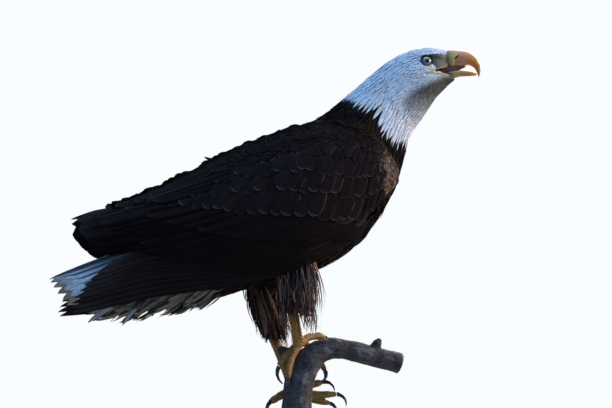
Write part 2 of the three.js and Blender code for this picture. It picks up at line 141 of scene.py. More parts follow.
def here(x, y, z):
    """A place in millimetres from the shoulder of the branch, in the frame's metres."""
    return ORIGIN + np.array([x, y, z]) * MM


def on_head(along, out, up):
    """A place in millimetres from the middle of the head, ahead, to its left and up."""
    return HEAD_MIDDLE + (HEAD_AHEAD * along + HEAD_LEFT * out + UP * up) * MM


def head_place(points):
    """Places ahead of, left of and above the middle of the head, in millimetres."""
    off = (points - HEAD_MIDDLE) / MM
    return off @ HEAD_AHEAD, off @ HEAD_LEFT, off[:, 2]


def unit(vectors):
    size = np.linalg.norm(vectors, axis=-1, keepdims=True)
    return vectors / np.maximum(size, 1e-12)


def ramp(value, low, high):
    """Smoothly 0 below low and 1 above high."""
    t = np.clip((np.asarray(value, float) - low) / (high - low), 0, 1)
    return t * t * (3 - 2 * t)


def curve(rows, places):
    """A smooth curve through a table whose rows start with their place."""
    table = np.array(rows, float)
    knots = table[:, 0]
    values = table[:, 1:]
    slopes = np.gradient(values, knots, axis=0)
    places = np.clip(np.asarray(places, float), knots[0], knots[-1])
    cell = np.clip(np.searchsorted(knots, places, side="right") - 1, 0, len(knots) - 2)
    span = (knots[cell + 1] - knots[cell])[..., None]
    t = (places - knots[cell])[..., None] / span
    rise = (2 * t**3 - 3 * t**2 + 1) * values[cell] + (3 * t**2 - 2 * t**3) * values[cell + 1]
    bend = (t**3 - 2 * t**2 + t) * slopes[cell] + (t**3 - t**2) * slopes[cell + 1]
    return rise + bend * span


# ---- Floor, light and camera -------------------------------------------------------------------

SCENE = bpy.context.scene
SCENE.view_settings.view_transform = "Standard"


def placed(thing, name):
    SCENE.collection.objects.link(bpy.data.objects.new(name, thing))
    return SCENE.objects[name]


def soft_light(name, at, aim, size, watts, tint):
    lamp = bpy.data.lights.new(name, "AREA")
    lamp.shape = "DISK"
    lamp.size = size
    lamp.energy = watts
    lamp.color = tint
    thing = placed(lamp, name)
    thing.location = at
    thing.rotation_euler = Vector(aim - at).to_track_quat("-Z", "Y").to_euler()


def make_studio():
    """A floor that is darker to the light than to the camera, the same for the sky, and lamps."""
    bm = bmesh.new()
    bmesh.ops.create_circle(bm, cap_ends=True, radius=45, segments=96)
    floor = placed(mesh_of(bm, "floor"), "floor")
    floor.location.z = CAD_BOX[0].z - 0.0005
    paint, tree = finish("pale_floor", 0.85)
    seen = node(tree, "ShaderNodeLightPath").outputs["Is Camera Ray"]
    shade = blended(tree, seen, (0.3, 0.29, 0.26, 1), (0.86, 0.88, 0.9, 1))
    feed(tree, tree.nodes["Principled BSDF"].inputs["Base Color"], shade)
    floor.data.materials.append(paint)

    world = bpy.data.worlds.new("studio")
    SCENE.world = world
    world.use_nodes = True
    tree = world.node_tree
    tree.nodes.clear()
    lit = node(tree, "ShaderNodeBackground", Color=(0.2, 0.45, 1.0, 1), Strength=0.66)
    sky = node(tree, "ShaderNodeBackground", Color=(0.95, 0.98, 1.0, 1))
    seen = node(tree, "ShaderNodeLightPath").outputs["Is Camera Ray"]
    mix = node(tree, "ShaderNodeMixShader", i0=seen, i1=lit.outputs[0], i2=sky.outputs[0])
    node(tree, "ShaderNodeOutputWorld", Surface=mix.outputs[0])

    middle = here(0, 0, 250)
    soft_light("light_behind", here(1500, 1900, 1500), middle, 1.6, 110, (1.0, 0.9, 0.78))
    soft_light("light_ahead", here(2200, -420, 1100), middle, 1.0, 44, (1.0, 0.84, 0.68))
    soft_light("light_above", here(-300, -500, 3000), middle, 3.0, 50, (0.5, 0.75, 1.0))


def make_camera():
    """Twelve degrees behind square to the bird's right side and five below level."""
    turn = math.radians(-12)
    tilt = math.radians(-5)
    away = 4.5
    seen_width = 1.0098
    back = Vector((math.sin(turn) * math.cos(tilt), -math.cos(turn) * math.cos(tilt), math.sin(tilt)))
    lens = bpy.data.cameras.new("camera")
    lens.sensor_width = 36
    lens.lens = 36 * away / seen_width
    camera = placed(lens, "camera")
    camera.location = Vector(here(5.45, -21.9, 231.8)) + back * away
    camera.rotation_euler = back.to_track_quat("Z", "Y").to_euler()
    SCENE.camera = camera


# ---- Tools for meshes --------------------------------------------------------------------------

def mesh_of(bm, name):
    """A new mesh from a bmesh, which is then let go."""
    mesh = bpy.data.meshes.new(name)
    bm.to_mesh(mesh)
    bm.free()
    return mesh


def object_of(bm, name, look):
    """Keeps a bmesh as a piece. A look is a material and the slot it stands for."""
    return finished(placed(mesh_of(bm, name), name), look)


def finished(piece, look):
    """Gives a piece the material of its look, smooth shading and the body it rides on."""
    material, slot = look
    piece.data.materials.clear()
    piece.data.materials.append(material)
    piece.data.polygons.foreach_set("use_smooth", [True] * len(piece.data.polygons))
    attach(piece, "root")
    return piece


def merged(names, name):
    """One mesh object of copies of CAD nodes, with their loose triangles joined."""
    bm = bmesh.new()
    for node_name in names:
        bm.from_mesh(NODES[node_name].data)
    bmesh.ops.remove_doubles(bm, verts=bm.verts, dist=0.00002)
    return placed(mesh_of(bm, name), name)


def remeshed(piece, size, rounds):
    """Turns a piece into an even smooth mesh of small squares."""
    grid = piece.modifiers.new("even", "REMESH")
    grid.mode = "VOXEL"
    grid.voxel_size = size
    soften = piece.modifiers.new("soften", "SMOOTH")
    soften.factor = 0.5
    soften.iterations = rounds
    graph = bpy.context.evaluated_depsgraph_get()
    mesh = bpy.data.meshes.new_from_object(piece.evaluated_get(graph))
    piece.modifiers.clear()
    old = piece.data
    piece.data = mesh
    bpy.data.meshes.remove(old)
    mesh.name = piece.name
    return piece


def stored(items, title, wide, kind=float):
    """What a mesh holds for each of its corners or edges, as rows."""
    values = np.empty(len(items) * wide, kind)
    items.foreach_get(title, values)
    return values.reshape(-1, wide)


def corners(mesh):
    return stored(mesh.vertices, "co", 3)


def facing(mesh):
    return stored(mesh.vertices, "normal", 3)


def moved(mesh, points):
    mesh.vertices.foreach_set("co", points.ravel())
    mesh.update()


def spread(values, ends, rounds):
    """Blends each corner's values with its neighbours', a few times."""
    values = np.asarray(values, float)
    flat = values.reshape(len(values), -1).copy()
    count = np.maximum(np.bincount(ends.ravel(), minlength=len(flat)), 1)
    for _ in range(rounds):
        for one in flat.T:
            near = np.bincount(ends[:, 0], one[ends[:, 1]], len(one))
            near += np.bincount(ends[:, 1], one[ends[:, 0]], len(one))
            one[:] = 0.4 * one + 0.6 * near / count
    return flat.reshape(values.shape)


def mark(mesh, **marks):
    """Stores numbers for each corner under their names, for the materials to read."""
    for name, values in marks.items():
        layer = mesh.attributes.new(name, "FLOAT", "POINT")
        layer.data.foreach_set("value", np.asarray(values, np.float32))


def fill_holes(bm):
    bmesh.ops.holes_fill(bm, edges=[edge for edge in bm.edges if edge.is_boundary])


def point_tree(points):
    tree = KDTree(len(points))
    for row, point in enumerate(points):
        tree.insert(point, row)
    tree.balance()
    return tree


def surface_tree(names):
    """A search tree over the faces of some CAD nodes, and for each face the row of its node."""
    points, faces, owner = [], [], []
    base = 0
    for row, name in enumerate(names):
        mesh = NODES[name].data
        points.append(corners(mesh))
        faces += [[base + v for v in face.vertices] for face in mesh.polygons]
        owner += [row] * len(mesh.polygons)
        base += len(mesh.vertices)
    return BVHTree.FromPolygons(np.concatenate(points).tolist(), faces), np.array(owner)


# ---- The skin ----------------------------------------------------------------------------------

# Sizes of the squares, in metres, that the skin is made of: all over, on the head, on the feet.
BODY_GRAIN, HEAD_GRAIN, FOOT_GRAIN = 0.0048, 0.0012, 0.0014
LINE_PLACES = np.linspace(0, 1, 241)


def line_points():
    """The body line in the frame, turned aside from the neck on, as the head is."""
    flat = curve(BODY_LINE, LINE_PLACES)
    ahead = np.maximum(flat[:, 0] - 95, 0)
    side = math.tan(HEAD_TURN) * (ahead - 60 * (1 - np.exp(-ahead / 60)))
    return ORIGIN + np.stack([flat[:, 0], side, flat[:, 1]], 1) * MM


LINE_POINTS = line_points()
LINE_TREE = point_tree(LINE_POINTS)


def along_line(points):
    """Each point's place on the body line, its degrees round from the top, and the line's way."""
    near = np.array([LINE_TREE.find(point)[1] for point in points])
    way = unit(np.gradient(LINE_POINTS, axis=0))[near]
    out = points - LINE_POINTS[near]
    right = unit(np.cross(way, UP))
    top = np.cross(right, way)
    turn = np.degrees(np.arctan2(np.abs((out * right).sum(1)), (out * top).sum(1)))
    return LINE_PLACES[near], turn, way


def wing_face(side, along, across, rows=WING_LINE):
    """Points of a folded wing's outer face and the way it faces."""
    def face(a, b):
        table = curve(rows, a)
        high = np.stack([table[..., 0], table[..., 1], table[..., 2]], -1)
        low = np.stack([table[..., 0], table[..., 3], table[..., 4]], -1)
        share = ((b + 1) / 2)[..., None]
        edge = high - low
        flat = np.stack([np.zeros_like(a), edge[..., 2], -edge[..., 1]], -1)
        bow = table[..., 5] * np.maximum(1 - b * b, 0) ** 0.8
        return low + edge * share + unit(flat) * bow[..., None]
    a, b = np.broadcast_arrays(np.asarray(along, float), np.asarray(across, float))
    at = face(a, b)
    step = 0.004
    down = face(np.clip(a + step, 0, 1), b) - face(np.clip(a - step, 0, 1), b)
    rise = face(a, np.clip(b + step, -1, 1)) - face(a, np.clip(b - step, -1, 1))
    out = unit(np.cross(down, rise))
    out = out * np.sign(out[..., 1:2] + 1e-9)
    turned = np.array([1, side, 1])
    return ORIGIN + at * turned * MM, out * turned


def wing_place(points):
    """Places along and across a folded wing for points near it."""
    local = (points - ORIGIN) / MM
    table = np.array(WING_LINE, float)
    along = np.interp(-local[:, 0], -table[:, 1], table[:, 0])
    rows = curve(WING_LINE, along)
    across = 2 * (local[:, 2] - rows[:, 4]) / (rows[:, 2] - rows[:, 4]) - 1
    return along, across


def covert_edge(along):
    """How far across the folded wing the tips of the greater coverts come."""
    places = [0, 0.18, 0.315, 0.45, 0.6, 0.7, 0.8, 0.9]
    return np.interp(along, places, [-1.1, -0.95, -0.66, -0.5, -0.3, -0.16, 0.06, 0.4])


def white_at(points):
    """How far past the end of the white a point is, on the white side."""
    place, turn, _ = along_line(points)
    ends = np.array(WHITE_ENDS, float)
    return place - np.interp(turn, ends[:, 0], ends[:, 1])


def cut_off(bm, faces, place, way):
    """Cuts some faces by a plane and drops what lies past it."""
    points = dict.fromkeys(v for f in faces for v in f.verts)
    edges = dict.fromkeys(e for f in faces for e in f.edges)
    parts = [*points, *edges, *faces]
    bmesh.ops.bisect_plane(bm, geom=parts, plane_co=place, plane_no=way, clear_outer=True)


def add_finer(bm, names, size, place, way, near):
    """Swaps what the skin has beyond a plane, near some place, for a finer copy, bridged on."""
    beyond = [f for f in bm.faces if near(f.calc_center_median())]
    cut_off(bm, beyond, place, way)
    piece = remeshed(merged(names, "finer"), size, 3)
    kept = set(bm.verts)
    bm.from_mesh(piece.data)
    bpy.data.objects.remove(piece)
    fresh = [f for f in bm.faces if not kept.intersection(f.verts)]
    cut_off(bm, fresh, place, tuple(-c for c in way))
    bmesh.ops.bridge_loops(bm, edges=[e for e in bm.edges if e.is_boundary])


def make_skin():
    """One skin under all the flesh nodes, drawn in by the depth of the coat."""
    piece = merged([name for name in FLESH if name.split("_")[0] not in ("toe", "shank")], "skin")
    mesh = piece.data
    bm = bmesh.new()
    bm.from_mesh(mesh)
    parts = [*bm.verts, *bm.edges, *bm.faces]
    rump = here(-318, 0, 0)
    bmesh.ops.bisect_plane(bm, geom=parts, plane_co=rump, plane_no=(-1, 0, 0), clear_outer=True)
    fill_holes(bm)
    bmesh.ops.recalc_face_normals(bm, faces=bm.faces)
    bm.to_mesh(mesh)
    bm.free()
    mesh = remeshed(piece, BODY_GRAIN, 3).data

    bm = bmesh.new()
    bm.from_mesh(mesh)
    neck = here(160, -10, 409)
    way = unit(np.array([0.6, -0.12, 0.8]))

    def near_head(c):
        return (np.array(c) - neck) @ way > -0.02

    add_finer(bm, ["head", "neck", "bill_upper", "bill_lower"], HEAD_GRAIN, neck, tuple(way), near_head)

    # The bill's two halves are pieces of their own, so the skin ends at their roots.
    mouth = HEAD_MIDDLE[2] - 4 * MM
    root = on_head(BILL_ROOT + 1, 0, 0)
    middles = [(f, np.array(f.calc_center_median())) for f in bm.faces]
    bill = [f for f, c in middles if c[2] > mouth and (c - root) @ HEAD_AHEAD > -0.004]
    cut_off(bm, bill, root, HEAD_AHEAD)
    middles = [(f, np.array(f.calc_center_median())) for f in bm.faces]
    chin = [f for f, c in middles if c[2] < mouth and (c - root) @ HEAD_AHEAD > -0.013]
    cut_off(bm, chin, on_head(48, 0, -11.5), HEAD_AHEAD * 0.27 + UP * 0.96)
    fill_holes(bm)

    # Finer legs and feet, each cut out clear of the other foot's toes.
    for word, height, clear in (("right", BARE_BELOW[0], 0.02), ("left", BARE_BELOW[1], -0.011)):
        names = [f"toe_{toe}_{word}" for toe in TOES] + [f"shank_{word}"]
        top = here(0, 0, height)

        def near_leg(c):
            return c.y * SIDES[word] > 0.016 and c.z < top[2] + 0.02 and -0.12 < c.x - top[0] < clear

        add_finer(bm, names, FOOT_GRAIN, top, (0, 0, -1), near_leg)
    bmesh.ops.triangulate(bm, faces=bm.faces)
    bmesh.ops.recalc_face_normals(bm, faces=bm.faces)
    bm.to_mesh(mesh)
    bm.free()

    points = corners(mesh)
    normals = facing(mesh)
    ends = stored(mesh.edges, "vertices", 2, int)
    faces = stored(mesh.loops, "vertex_index", 1, int).reshape(-1, 3)
    flesh, owner = surface_tree(FLESH)
    owner = owner[[flesh.find_nearest(point)[2] for point in points]]
    part = np.array([name.split("_")[0] for name in FLESH])[owner]
    place, turn, way = along_line(points)
    ahead = head_place(points)[0]
    local = (points - ORIGIN) / MM
    along, across = wing_place(points)
    bare_below = np.where(local[:, 1] < 0, *BARE_BELOW)
    part = np.where((part == "thigh") & (local[:, 2] < bare_below + 1), "shank", part)

    # The coat's depth, at most a share of how thick the flesh is there.
    depths = {"neck": 2.4, "trunk": 2.6, "wing": 2.2, "thigh": 5}
    depth = np.array([depths.get(word, 0.0) for word in part])
    on_face = part == "head"
    depth[on_face] = np.interp(ahead[on_face], [-50, -20, 5, 25], [2.6, 1.7, 0.8, 0.3])
    tree = BVHTree.FromPolygons(points.tolist(), faces.tolist())
    through = np.full(len(points), 99.0)
    for row in np.flatnonzero(part != "toe"):
        start = points[row] - normals[row] * 0.0006
        hit = tree.ray_cast(Vector(start), Vector(-normals[row]), 0.05)
        if hit[0] is not None:
            through[row] = hit[3] / MM
    depth = np.minimum(spread(depth, ends, 12), spread(through, ends, 3) * 0.3)
    depth[part == "toe"] = 0
    depth = spread(depth, ends, 4)
    inward = points - spread(normals, ends, 3) * depth[:, None] * MM
    low = (part == "wing") & (across < 0)
    inward[low, 2] -= across[low] * 11 * MM    # the lower half of the wing is drawn up
    inward = spread(inward, ends, 1)
    moved(mesh, inward)
    skin = SimpleNamespace(
        piece=piece, points=inward, normals=unit(spread(facing(mesh), ends, 6)), ends=ends, faces=faces,
        part=part, place=place, turn=turn, ahead=ahead, local=local, along=along, across=across, way=way)
    mark_face(skin)
    skin.tree = BVHTree.FromPolygons(skin.points.tolist(), skin.faces.tolist())
    unwrap_skin(skin)
    return skin


# Outlines and lines on the side of the head: millimetres ahead of and above its middle.
LORE = [(9, 15), (6.6, 18.4), (7, 20.6), (12.5, 21.6), (20, 22.6), (31, 22.6), (37, 24), (50, 27),
        (50, 15), (50, 3), (31, 0.5), (21, -3), (18.5, 2), (13.5, 6)]
BROW = [(-2, 18.4), (5, 20.2), (12.6, 20.9), (20, 22), (31, 22.6)]
GAPE = [(43, 3.4), (31, 0.1), (20, -3.6), (12, -7), (4.3, -9.6), (14, -10), (26, -10), (40, -9.2)]
MOUTH_TOP = [(3, -9.4), (15, -6.2), (26.8, -1.9), (40.3, 2.4), (50, 4.2)]
MOUTH_FLOOR = [(3, -9.6), (24, -8.3), (38, -7.5), (52, -5.4)]
CHIN = [(-84.7, -7), (-68, 4), (-53.4, 15.5), (-40.2, 29), (-28.6, 41), (-22, 49), (-18.7, 54),
        (-14, 57), (-12, 57)]
# THROAT outlines the painted shade on the white under the bill and down the throat.
THROAT = [(60, -9), (36, -12), (27, -17), (8, -26), (-14, -38), (-34, -58), (-30, -84), (0, -90), (60, -40)]


def from_line(ahead, up, line):
    """How far points on the side of the head are from a line of joined stretches."""
    near = np.full(len(ahead), 99.0)
    line = np.array(line, float)
    for start, end in zip(line, line[1:]):
        way = end - start
        off = np.stack([ahead, up], 1) - start
        share = np.clip(off @ way / (way @ way), 0, 1)
        near = np.minimum(near, np.linalg.norm(off - share[:, None] * way, axis=1))
    return near


def zone(ahead, up, edge, soft=1.0):
    """1 inside an outline on the side of the head, falling to 0 over a soft border."""
    near = from_line(ahead, up, [*edge, edge[0]])
    inside = np.zeros(len(ahead), bool)
    for (a0, u0), (a1, u1) in zip(edge, edge[1:] + edge[:1]):
        crosses = (u0 > up) != (u1 > up)
        inside ^= crosses & (ahead < (a1 - a0) * (up - u0) / (u1 - u0 + 1e-9) + a0)
    return ramp(np.where(inside, near, -near), -soft, soft)


def lid_reach(ahead, up):
    """1 at the border of the bare skin round the eye, less inside it, with its two corners."""
    ring = np.hypot((ahead - 4) / 9.1, (up - 10.2) / 8.6)
    corners_ = np.hypot((ahead - 4.2) / 12.6, (up - 10.4) / 3.6)
    return np.minimum(ring, corners_)


def dusk_at(points):
    """How much painted shade, olive and dark, lies on the white under the bill and down the throat."""
    ahead, _, up = head_place(points)
    return zone(ahead, up, THROAT, 7.0) * np.interp(up, [-86, -66, -42, -10], [0, 0.62, 0.98, 1.0])


def mark_face(skin):
    """Marks and shapes the bare skin before the eyes, the brow, the lids and the mouth."""
    ahead, out, up = head_place(skin.points)
    head = skin.part == "head"
    eyeward = head & (np.abs(out) > 9)
    skin.lore = np.where(head, zone(ahead, up, LORE), 0)
    top = np.interp(ahead, *np.array(MOUTH_TOP).T)
    floor = np.interp(ahead, *np.array(MOUTH_FLOOR).T)
    inner = np.abs(skin.normals @ HEAD_LEFT) < 0.75
    inside = (up > floor - 1.2) & (up < top + 1.2) & (ahead > 3) & (inner | (np.abs(out) < 6))
    skin.mouth = np.where(head & inside, 1.0, 0)
    skin.gape = np.where(head & ~inside, ramp(1.6 - from_line(ahead, up, GAPE), -0.6, 0.6), 0)
    # The dark line along the brow is partly the bare ridge's own skin and partly painted shadow under the
    # overhanging brow.
    brow = np.where(eyeward, ramp(1.5 - from_line(ahead, up, BROW), -0.9, 0.9), 0)
    lids = np.where(eyeward, ramp(1 - lid_reach(ahead, up), -0.08, 0.08), 0)
    skin.dark = np.maximum(brow, lids)

    # The brow stands out over a hollow, the edge of the mouth swells, and the bill's root sinks in.
    swell = 0.45 * skin.gape - 0.4 * ramp(ahead, 37.5, 41.5) * (up > 0)
    for height, above, soft in ((0.9, 2.4, 2.6), (-0.5, -1.6, 2.0)):
        line = [(a, u + above) for a, u in BROW]
        swell += height * np.exp(-((from_line(ahead, up, line) / soft) ** 2)) * eyeward
    skin.points = skin.points + skin.normals * swell[:, None] * MM

    # The bare skin narrows toward the bill.
    wide = np.interp(up, [-4, 2, 6, 10, 14, 18, 22, 26, 30], [0, 4, 6.6, 6.6, 4.4, 3.5, 1.4, 0.2, 0])
    wide *= head * ramp(ahead, 19, 41) ** 1.4 * np.sign(out) * ramp(np.abs(out), 2, 8)
    skin.points = skin.points - HEAD_LEFT * spread(wide, skin.ends, 2)[:, None] * MM

    # The throat is filled out to the line of the chin.
    steps = np.arange(-70, -11, 3.0)
    front = (np.abs(out) < 8) & (skin.part != "trunk")
    nose = [ahead[(np.abs(up - u) < 2.5) & front].max() for u in steps]
    gap = np.maximum(np.interp(steps, *np.array(CHIN).T) - nose, 0) * ramp(-steps, 11, 16)
    fill = np.interp(up, steps, gap, 0, 0) * np.exp(-(((np.interp(up, steps, nose) - ahead) / 15) ** 2))
    fill *= (up < -10) & (skin.normals @ (HEAD_AHEAD - UP) > 0)
    skin.points = skin.points + HEAD_AHEAD * spread(fill, skin.ends, 4)[:, None] * MM
    mesh = skin.piece.data
    moved(mesh, skin.points)
    # Marks the painted shade on the white under the bill and down the throat, and how near the bill's root
    # each corner is.
    mark(mesh, dusk=dusk_at(skin.points), root=ramp(ahead, 24, 49.5))
    for name in ("lore", "mouth", "gape", "dark"):
        mark(mesh, **{name: spread(getattr(skin, name), skin.ends, 1)})


def unwrap_skin(skin):
    """Unwraps the skin by its own shape and keeps the middle of each face's patch."""
    bpy.context.view_layer.objects.active = skin.piece
    skin.piece.select_set(True)
    skin.piece.data.uv_layers.new(name="OFBake")
    bpy.ops.object.mode_set(mode="EDIT")
    bpy.ops.mesh.select_all(action="SELECT")
    bpy.ops.uv.smart_project(angle_limit=math.radians(66), island_margin=0.002)
    bpy.ops.object.mode_set(mode="OBJECT")
    skin.piece.select_set(False)
    places = stored(skin.piece.data.uv_layers["OFBake"].uv, "vector", 2)
    skin.patches = places.reshape(-1, 3, 2).mean(1)


# ---- Feathers ----------------------------------------------------------------------------------

def vane_stock(across, along, crowd=1.0):
    """A closed flat vane, two faces thick: its corners as across, along and side, and its faces.
    A crowd over 1 sets more of its rows near the tip."""
    bm = bmesh.new()
    bmesh.ops.create_grid(bm, x_segments=across, y_segments=along, size=1.0)
    bmesh.ops.translate(bm, verts=bm.verts, vec=(0, 0, 1))
    for v in bm.verts:
        if v.is_boundary:
            v.co.z = 0
    twin = bmesh.ops.duplicate(bm, geom=[*bm.verts, *bm.edges, *bm.faces])["geom"]
    below = [v for v in twin if isinstance(v, bmesh.types.BMVert)]
    bmesh.ops.scale(bm, verts=below, vec=(1, 1, -1))
    bmesh.ops.reverse_faces(bm, faces=[f for f in twin if isinstance(f, bmesh.types.BMFace)])
    bmesh.ops.remove_doubles(bm, verts=bm.verts, dist=0.0001)
    bm.verts.index_update()
    stock = np.array([v.co[:] for v in bm.verts])
    faces = np.array([[v.index for v in f.verts] for f in bm.faces])
    bm.free()
    stock[:, 1] = 1 - ((1 - stock[:, 1]) / 2) ** crowd
    return stock, faces


SMALL = vane_stock(2, 4)
MIDDLE = vane_stock(4, 6, 1.3)
BROAD = vane_stock(6, 8, 1.5)
STRAND = vane_stock(2, 5)
LARGE = vane_stock(8, 20, 1.8)
PLATE = vane_stock(6, 2)
RIB = vane_stock(2, 10)


def column(value, count):
    """One value a feather, as a column, from one value for all or a row of them."""
    return np.broadcast_to(np.asarray(value, float), (count,))[:, None]


def outline(along, point, base, tip):
    """Half the width of a vane along it, as a share: round ended at point 0, lance shaped at 1.
    The tip is the share of its length over which a round end closes."""
    root = base + (1 - base) * ramp(along, 0, 0.4)
    end = np.clip((along - 1 + tip) / tip, 0, 1)
    rounded = np.sqrt(np.maximum(1 - end**2.4, 0.03))
    taper = np.clip((along - 0.25) / 0.75, 0, 1)
    lance = np.maximum((1 - taper) ** 0.8, 0.03)
    return root * ((1 - point) * rounded + point * lance)


def vanes(stock, spine, up, width, point=0.0, thick=0.5, lift=(-1.0, 1.0), camber=60.0,
          bulge=0.18, skew=0.0, roll=0.0, base=0.4):
    """Lays a vane along each spine. Spines are rows of points, up the way they face there; widths,
    thickness and lifts off the spine are in millimetres, camber is the radius they bend round.
    Gives the corners, the faces and each corner's place on the vane."""
    shape, faces = stock
    count, knots = spine.shape[:2]
    across, along, side = shape.T
    at = along[None] - column(bulge, count) * (across[None] ** 2) * along[None] ** 2
    at = np.clip(at, 0, 1)

    def pick(rows, t):
        cell = np.clip((t * (knots - 1)).astype(int), 0, knots - 2)
        f = (t * (knots - 1) - cell)[..., None]
        row = np.arange(count)[:, None]
        before = rows[row, np.maximum(cell - 1, 0)]
        first = rows[row, cell]
        second = rows[row, cell + 1]
        after = rows[row, np.minimum(cell + 2, knots - 1)]
        m0 = (second - before) / 2
        m1 = (after - first) / 2
        a = (2 * f**3 - 3 * f**2 + 1) * first + (f**3 - 2 * f**2 + f) * m0
        return a + (3 * f**2 - 2 * f**3) * second + (f**3 - f**2) * m1

    centre = pick(spine, at)
    ahead = unit(pick(spine, np.clip(at + 0.05, 0, 1)) - pick(spine, np.clip(at - 0.05, 0, 1)))
    rise = unit(pick(up, at))
    beside = unit(np.cross(ahead, rise))
    rise = np.cross(beside, ahead)
    width, point, thick, skew, roll, camber, low, high = (
        column(value, count) for value in (width, point, thick, skew, roll, camber, *lift))
    length = np.linalg.norm(np.diff(spine, axis=1), axis=2).sum(1, keepdims=True) / MM
    tip = np.clip(width * 0.62 / length, 0.05, 0.6)
    half = width / 2 * outline(along[None], point, base, tip) * MM
    sway = (across[None] + skew * (1 - across[None] ** 2)) * half
    bend = camber * MM
    lifted = (low + (high - low) * along[None] ** 1.3) * MM
    lifted += sway * roll - bend * (1 - np.cos(sway / bend))
    sway = bend * np.sin(sway / bend)
    body = thick / 2 * MM * (1 - across[None] ** 2) * (1 - 0.6 * along[None])
    place = centre + beside * sway[..., None] + rise * (lifted + side[None] * body)[..., None]
    cells = faces[None] + np.arange(count)[:, None, None] * len(shape)
    spots = np.stack([(across + 1) / 2, along], 1)
    return place.reshape(-1, 3), cells.reshape(-1, faces.shape[1]), np.tile(spots, (count, 1))


def feather_piece(name, batches, skin, look):
    """Joins laid vanes into one piece, with its vane map, its bake patches and its marks. A batch
    is the laid vanes, their spines and their marks."""
    places, faces, vane, patch = [], [], [], []
    marks = {"tint": [], "pale": [], "dusk": []}
    base = 0
    for (at, cells, spot), spines, given in batches:
        count = len(spines)
        places.append(at)
        faces.append(cells + base)
        base += len(at)
        vane.append(spot[cells.ravel()])
        near = [skin.tree.find_nearest(root)[2] for root in spines[:, 0]]
        home = np.repeat(skin.patches[near], len(cells) // count * cells.shape[1], axis=0)
        patch.append(home + (spot[cells.ravel()] - 0.5) * 0.003)
        for key, values in marks.items():
            values.append(np.repeat(np.broadcast_to(given.get(key, 0.0), (count,)), len(at) // count))
    faces = np.concatenate(faces)
    mesh = bpy.data.meshes.new(name)
    mesh.vertices.add(base)
    mesh.vertices.foreach_set("co", np.concatenate(places).ravel())
    mesh.loops.add(faces.size)
    mesh.loops.foreach_set("vertex_index", faces.ravel())
    mesh.polygons.add(len(faces))
    mesh.polygons.foreach_set("loop_start", np.arange(0, faces.size, faces.shape[1]))
    mesh.update(calc_edges=True)
    for title, spots in (("vane", vane), ("OFBake", patch)):
        layer = mesh.uv_layers.new(name=title)
        layer.uv.foreach_set("vector", np.concatenate(spots).ravel())
    mark(mesh, **{key: np.concatenate(values) for key, values in marks.items()})
    mesh.validate()
    return finished(placed(mesh, name), look)


# ---- Finishes ----------------------------------------------------------------------------------

def feed(tree, socket, value):
    """Sets an input to a value, or wires another node's output to it."""
    if isinstance(value, bpy.types.NodeSocket):
        tree.links.new(value, socket)
    else:
        socket.default_value = value


def node(tree, kind, **values):
    """Adds a node. A value is a setting or an input, by its name or as i and its row; it may be
    another node's output."""
    made = tree.nodes.new(kind)
    for name, value in values.items():
        if hasattr(made, name) and not isinstance(value, bpy.types.NodeSocket):
            setattr(made, name, value)
        else:
            numbered = name[0] == "i" and name[1:].isdigit()
            feed(tree, made.inputs[int(name[1:]) if numbered else name], value)
    return made


def sums(tree, operation, first, second=0.0):
    return node(tree, "ShaderNodeMath", operation=operation, i0=first, i1=second).outputs[0]


def times(tree, first, second):
    return sums(tree, "MULTIPLY", first, second)


def between(tree, value, low, high, out_low=0.0, out_high=1.0):
    """Smoothly out_low where a value is low and out_high where it is high."""
    ends = {"i1": low, "i2": high, "i3": out_low, "i4": out_high}
    return node(tree, "ShaderNodeMapRange", interpolation_type="SMOOTHSTEP", i0=value, **ends).outputs[0]


def noisy(tree, place, scale, detail, **more):
    return node(tree, "ShaderNodeTexNoise", Vector=place, Scale=scale, Detail=detail, **more).outputs[0]


def number(tree, name):
    """A number stored at the piece's corners."""
    return node(tree, "ShaderNodeAttribute", attribute_name=name).outputs["Fac"]


def on_piece(tree, stretch=None):
    """The place on a piece, stretched along its axes if a stretch is given."""
    place = node(tree, "ShaderNodeTexCoord").outputs["Object"]
    if stretch:
        return node(tree, "ShaderNodeMapping", Vector=place, Scale=stretch).outputs[0]
    return place


def colour(red, green, blue):
    """A colour given as 0 to 255 on a screen."""
    parts = [c / 255 for c in (red, green, blue)]
    return [*(c / 12.92 if c <= 0.04045 else ((c + 0.055) / 1.055) ** 2.4 for c in parts), 1]


def blended(tree, share, first, second):
    """Mixes two colours. Three numbers are a colour on a screen, four are a colour of light."""
    made = node(tree, "ShaderNodeMix", data_type="RGBA")
    for row, value in ((0, share), (6, first), (7, second)):
        on_screen = isinstance(value, tuple) and len(value) == 3
        feed(tree, made.inputs[row], colour(*value) if on_screen else value)
    return made.outputs[2]


def layered(tree, body, *coats):
    """Lays coats over a colour: each a share or the name of a stored one, its strength, a colour."""
    for share, strength, tint in coats:
        share = number(tree, share) if isinstance(share, str) else share
        body = blended(tree, share if strength == 1 else times(tree, share, strength), body, tint)
    return body


def new_group(name, inputs, outputs):
    group = bpy.data.node_groups.new(name, "ShaderNodeTree")
    kind = "NodeSocketFloat"
    for title, value in inputs:
        group.interface.new_socket(title, in_out="INPUT", socket_type=kind).default_value = value
    for title in outputs:
        group.interface.new_socket(title, in_out="OUTPUT", socket_type=kind)
    return group, group.nodes.new("NodeGroupInput"), group.nodes.new("NodeGroupOutput")


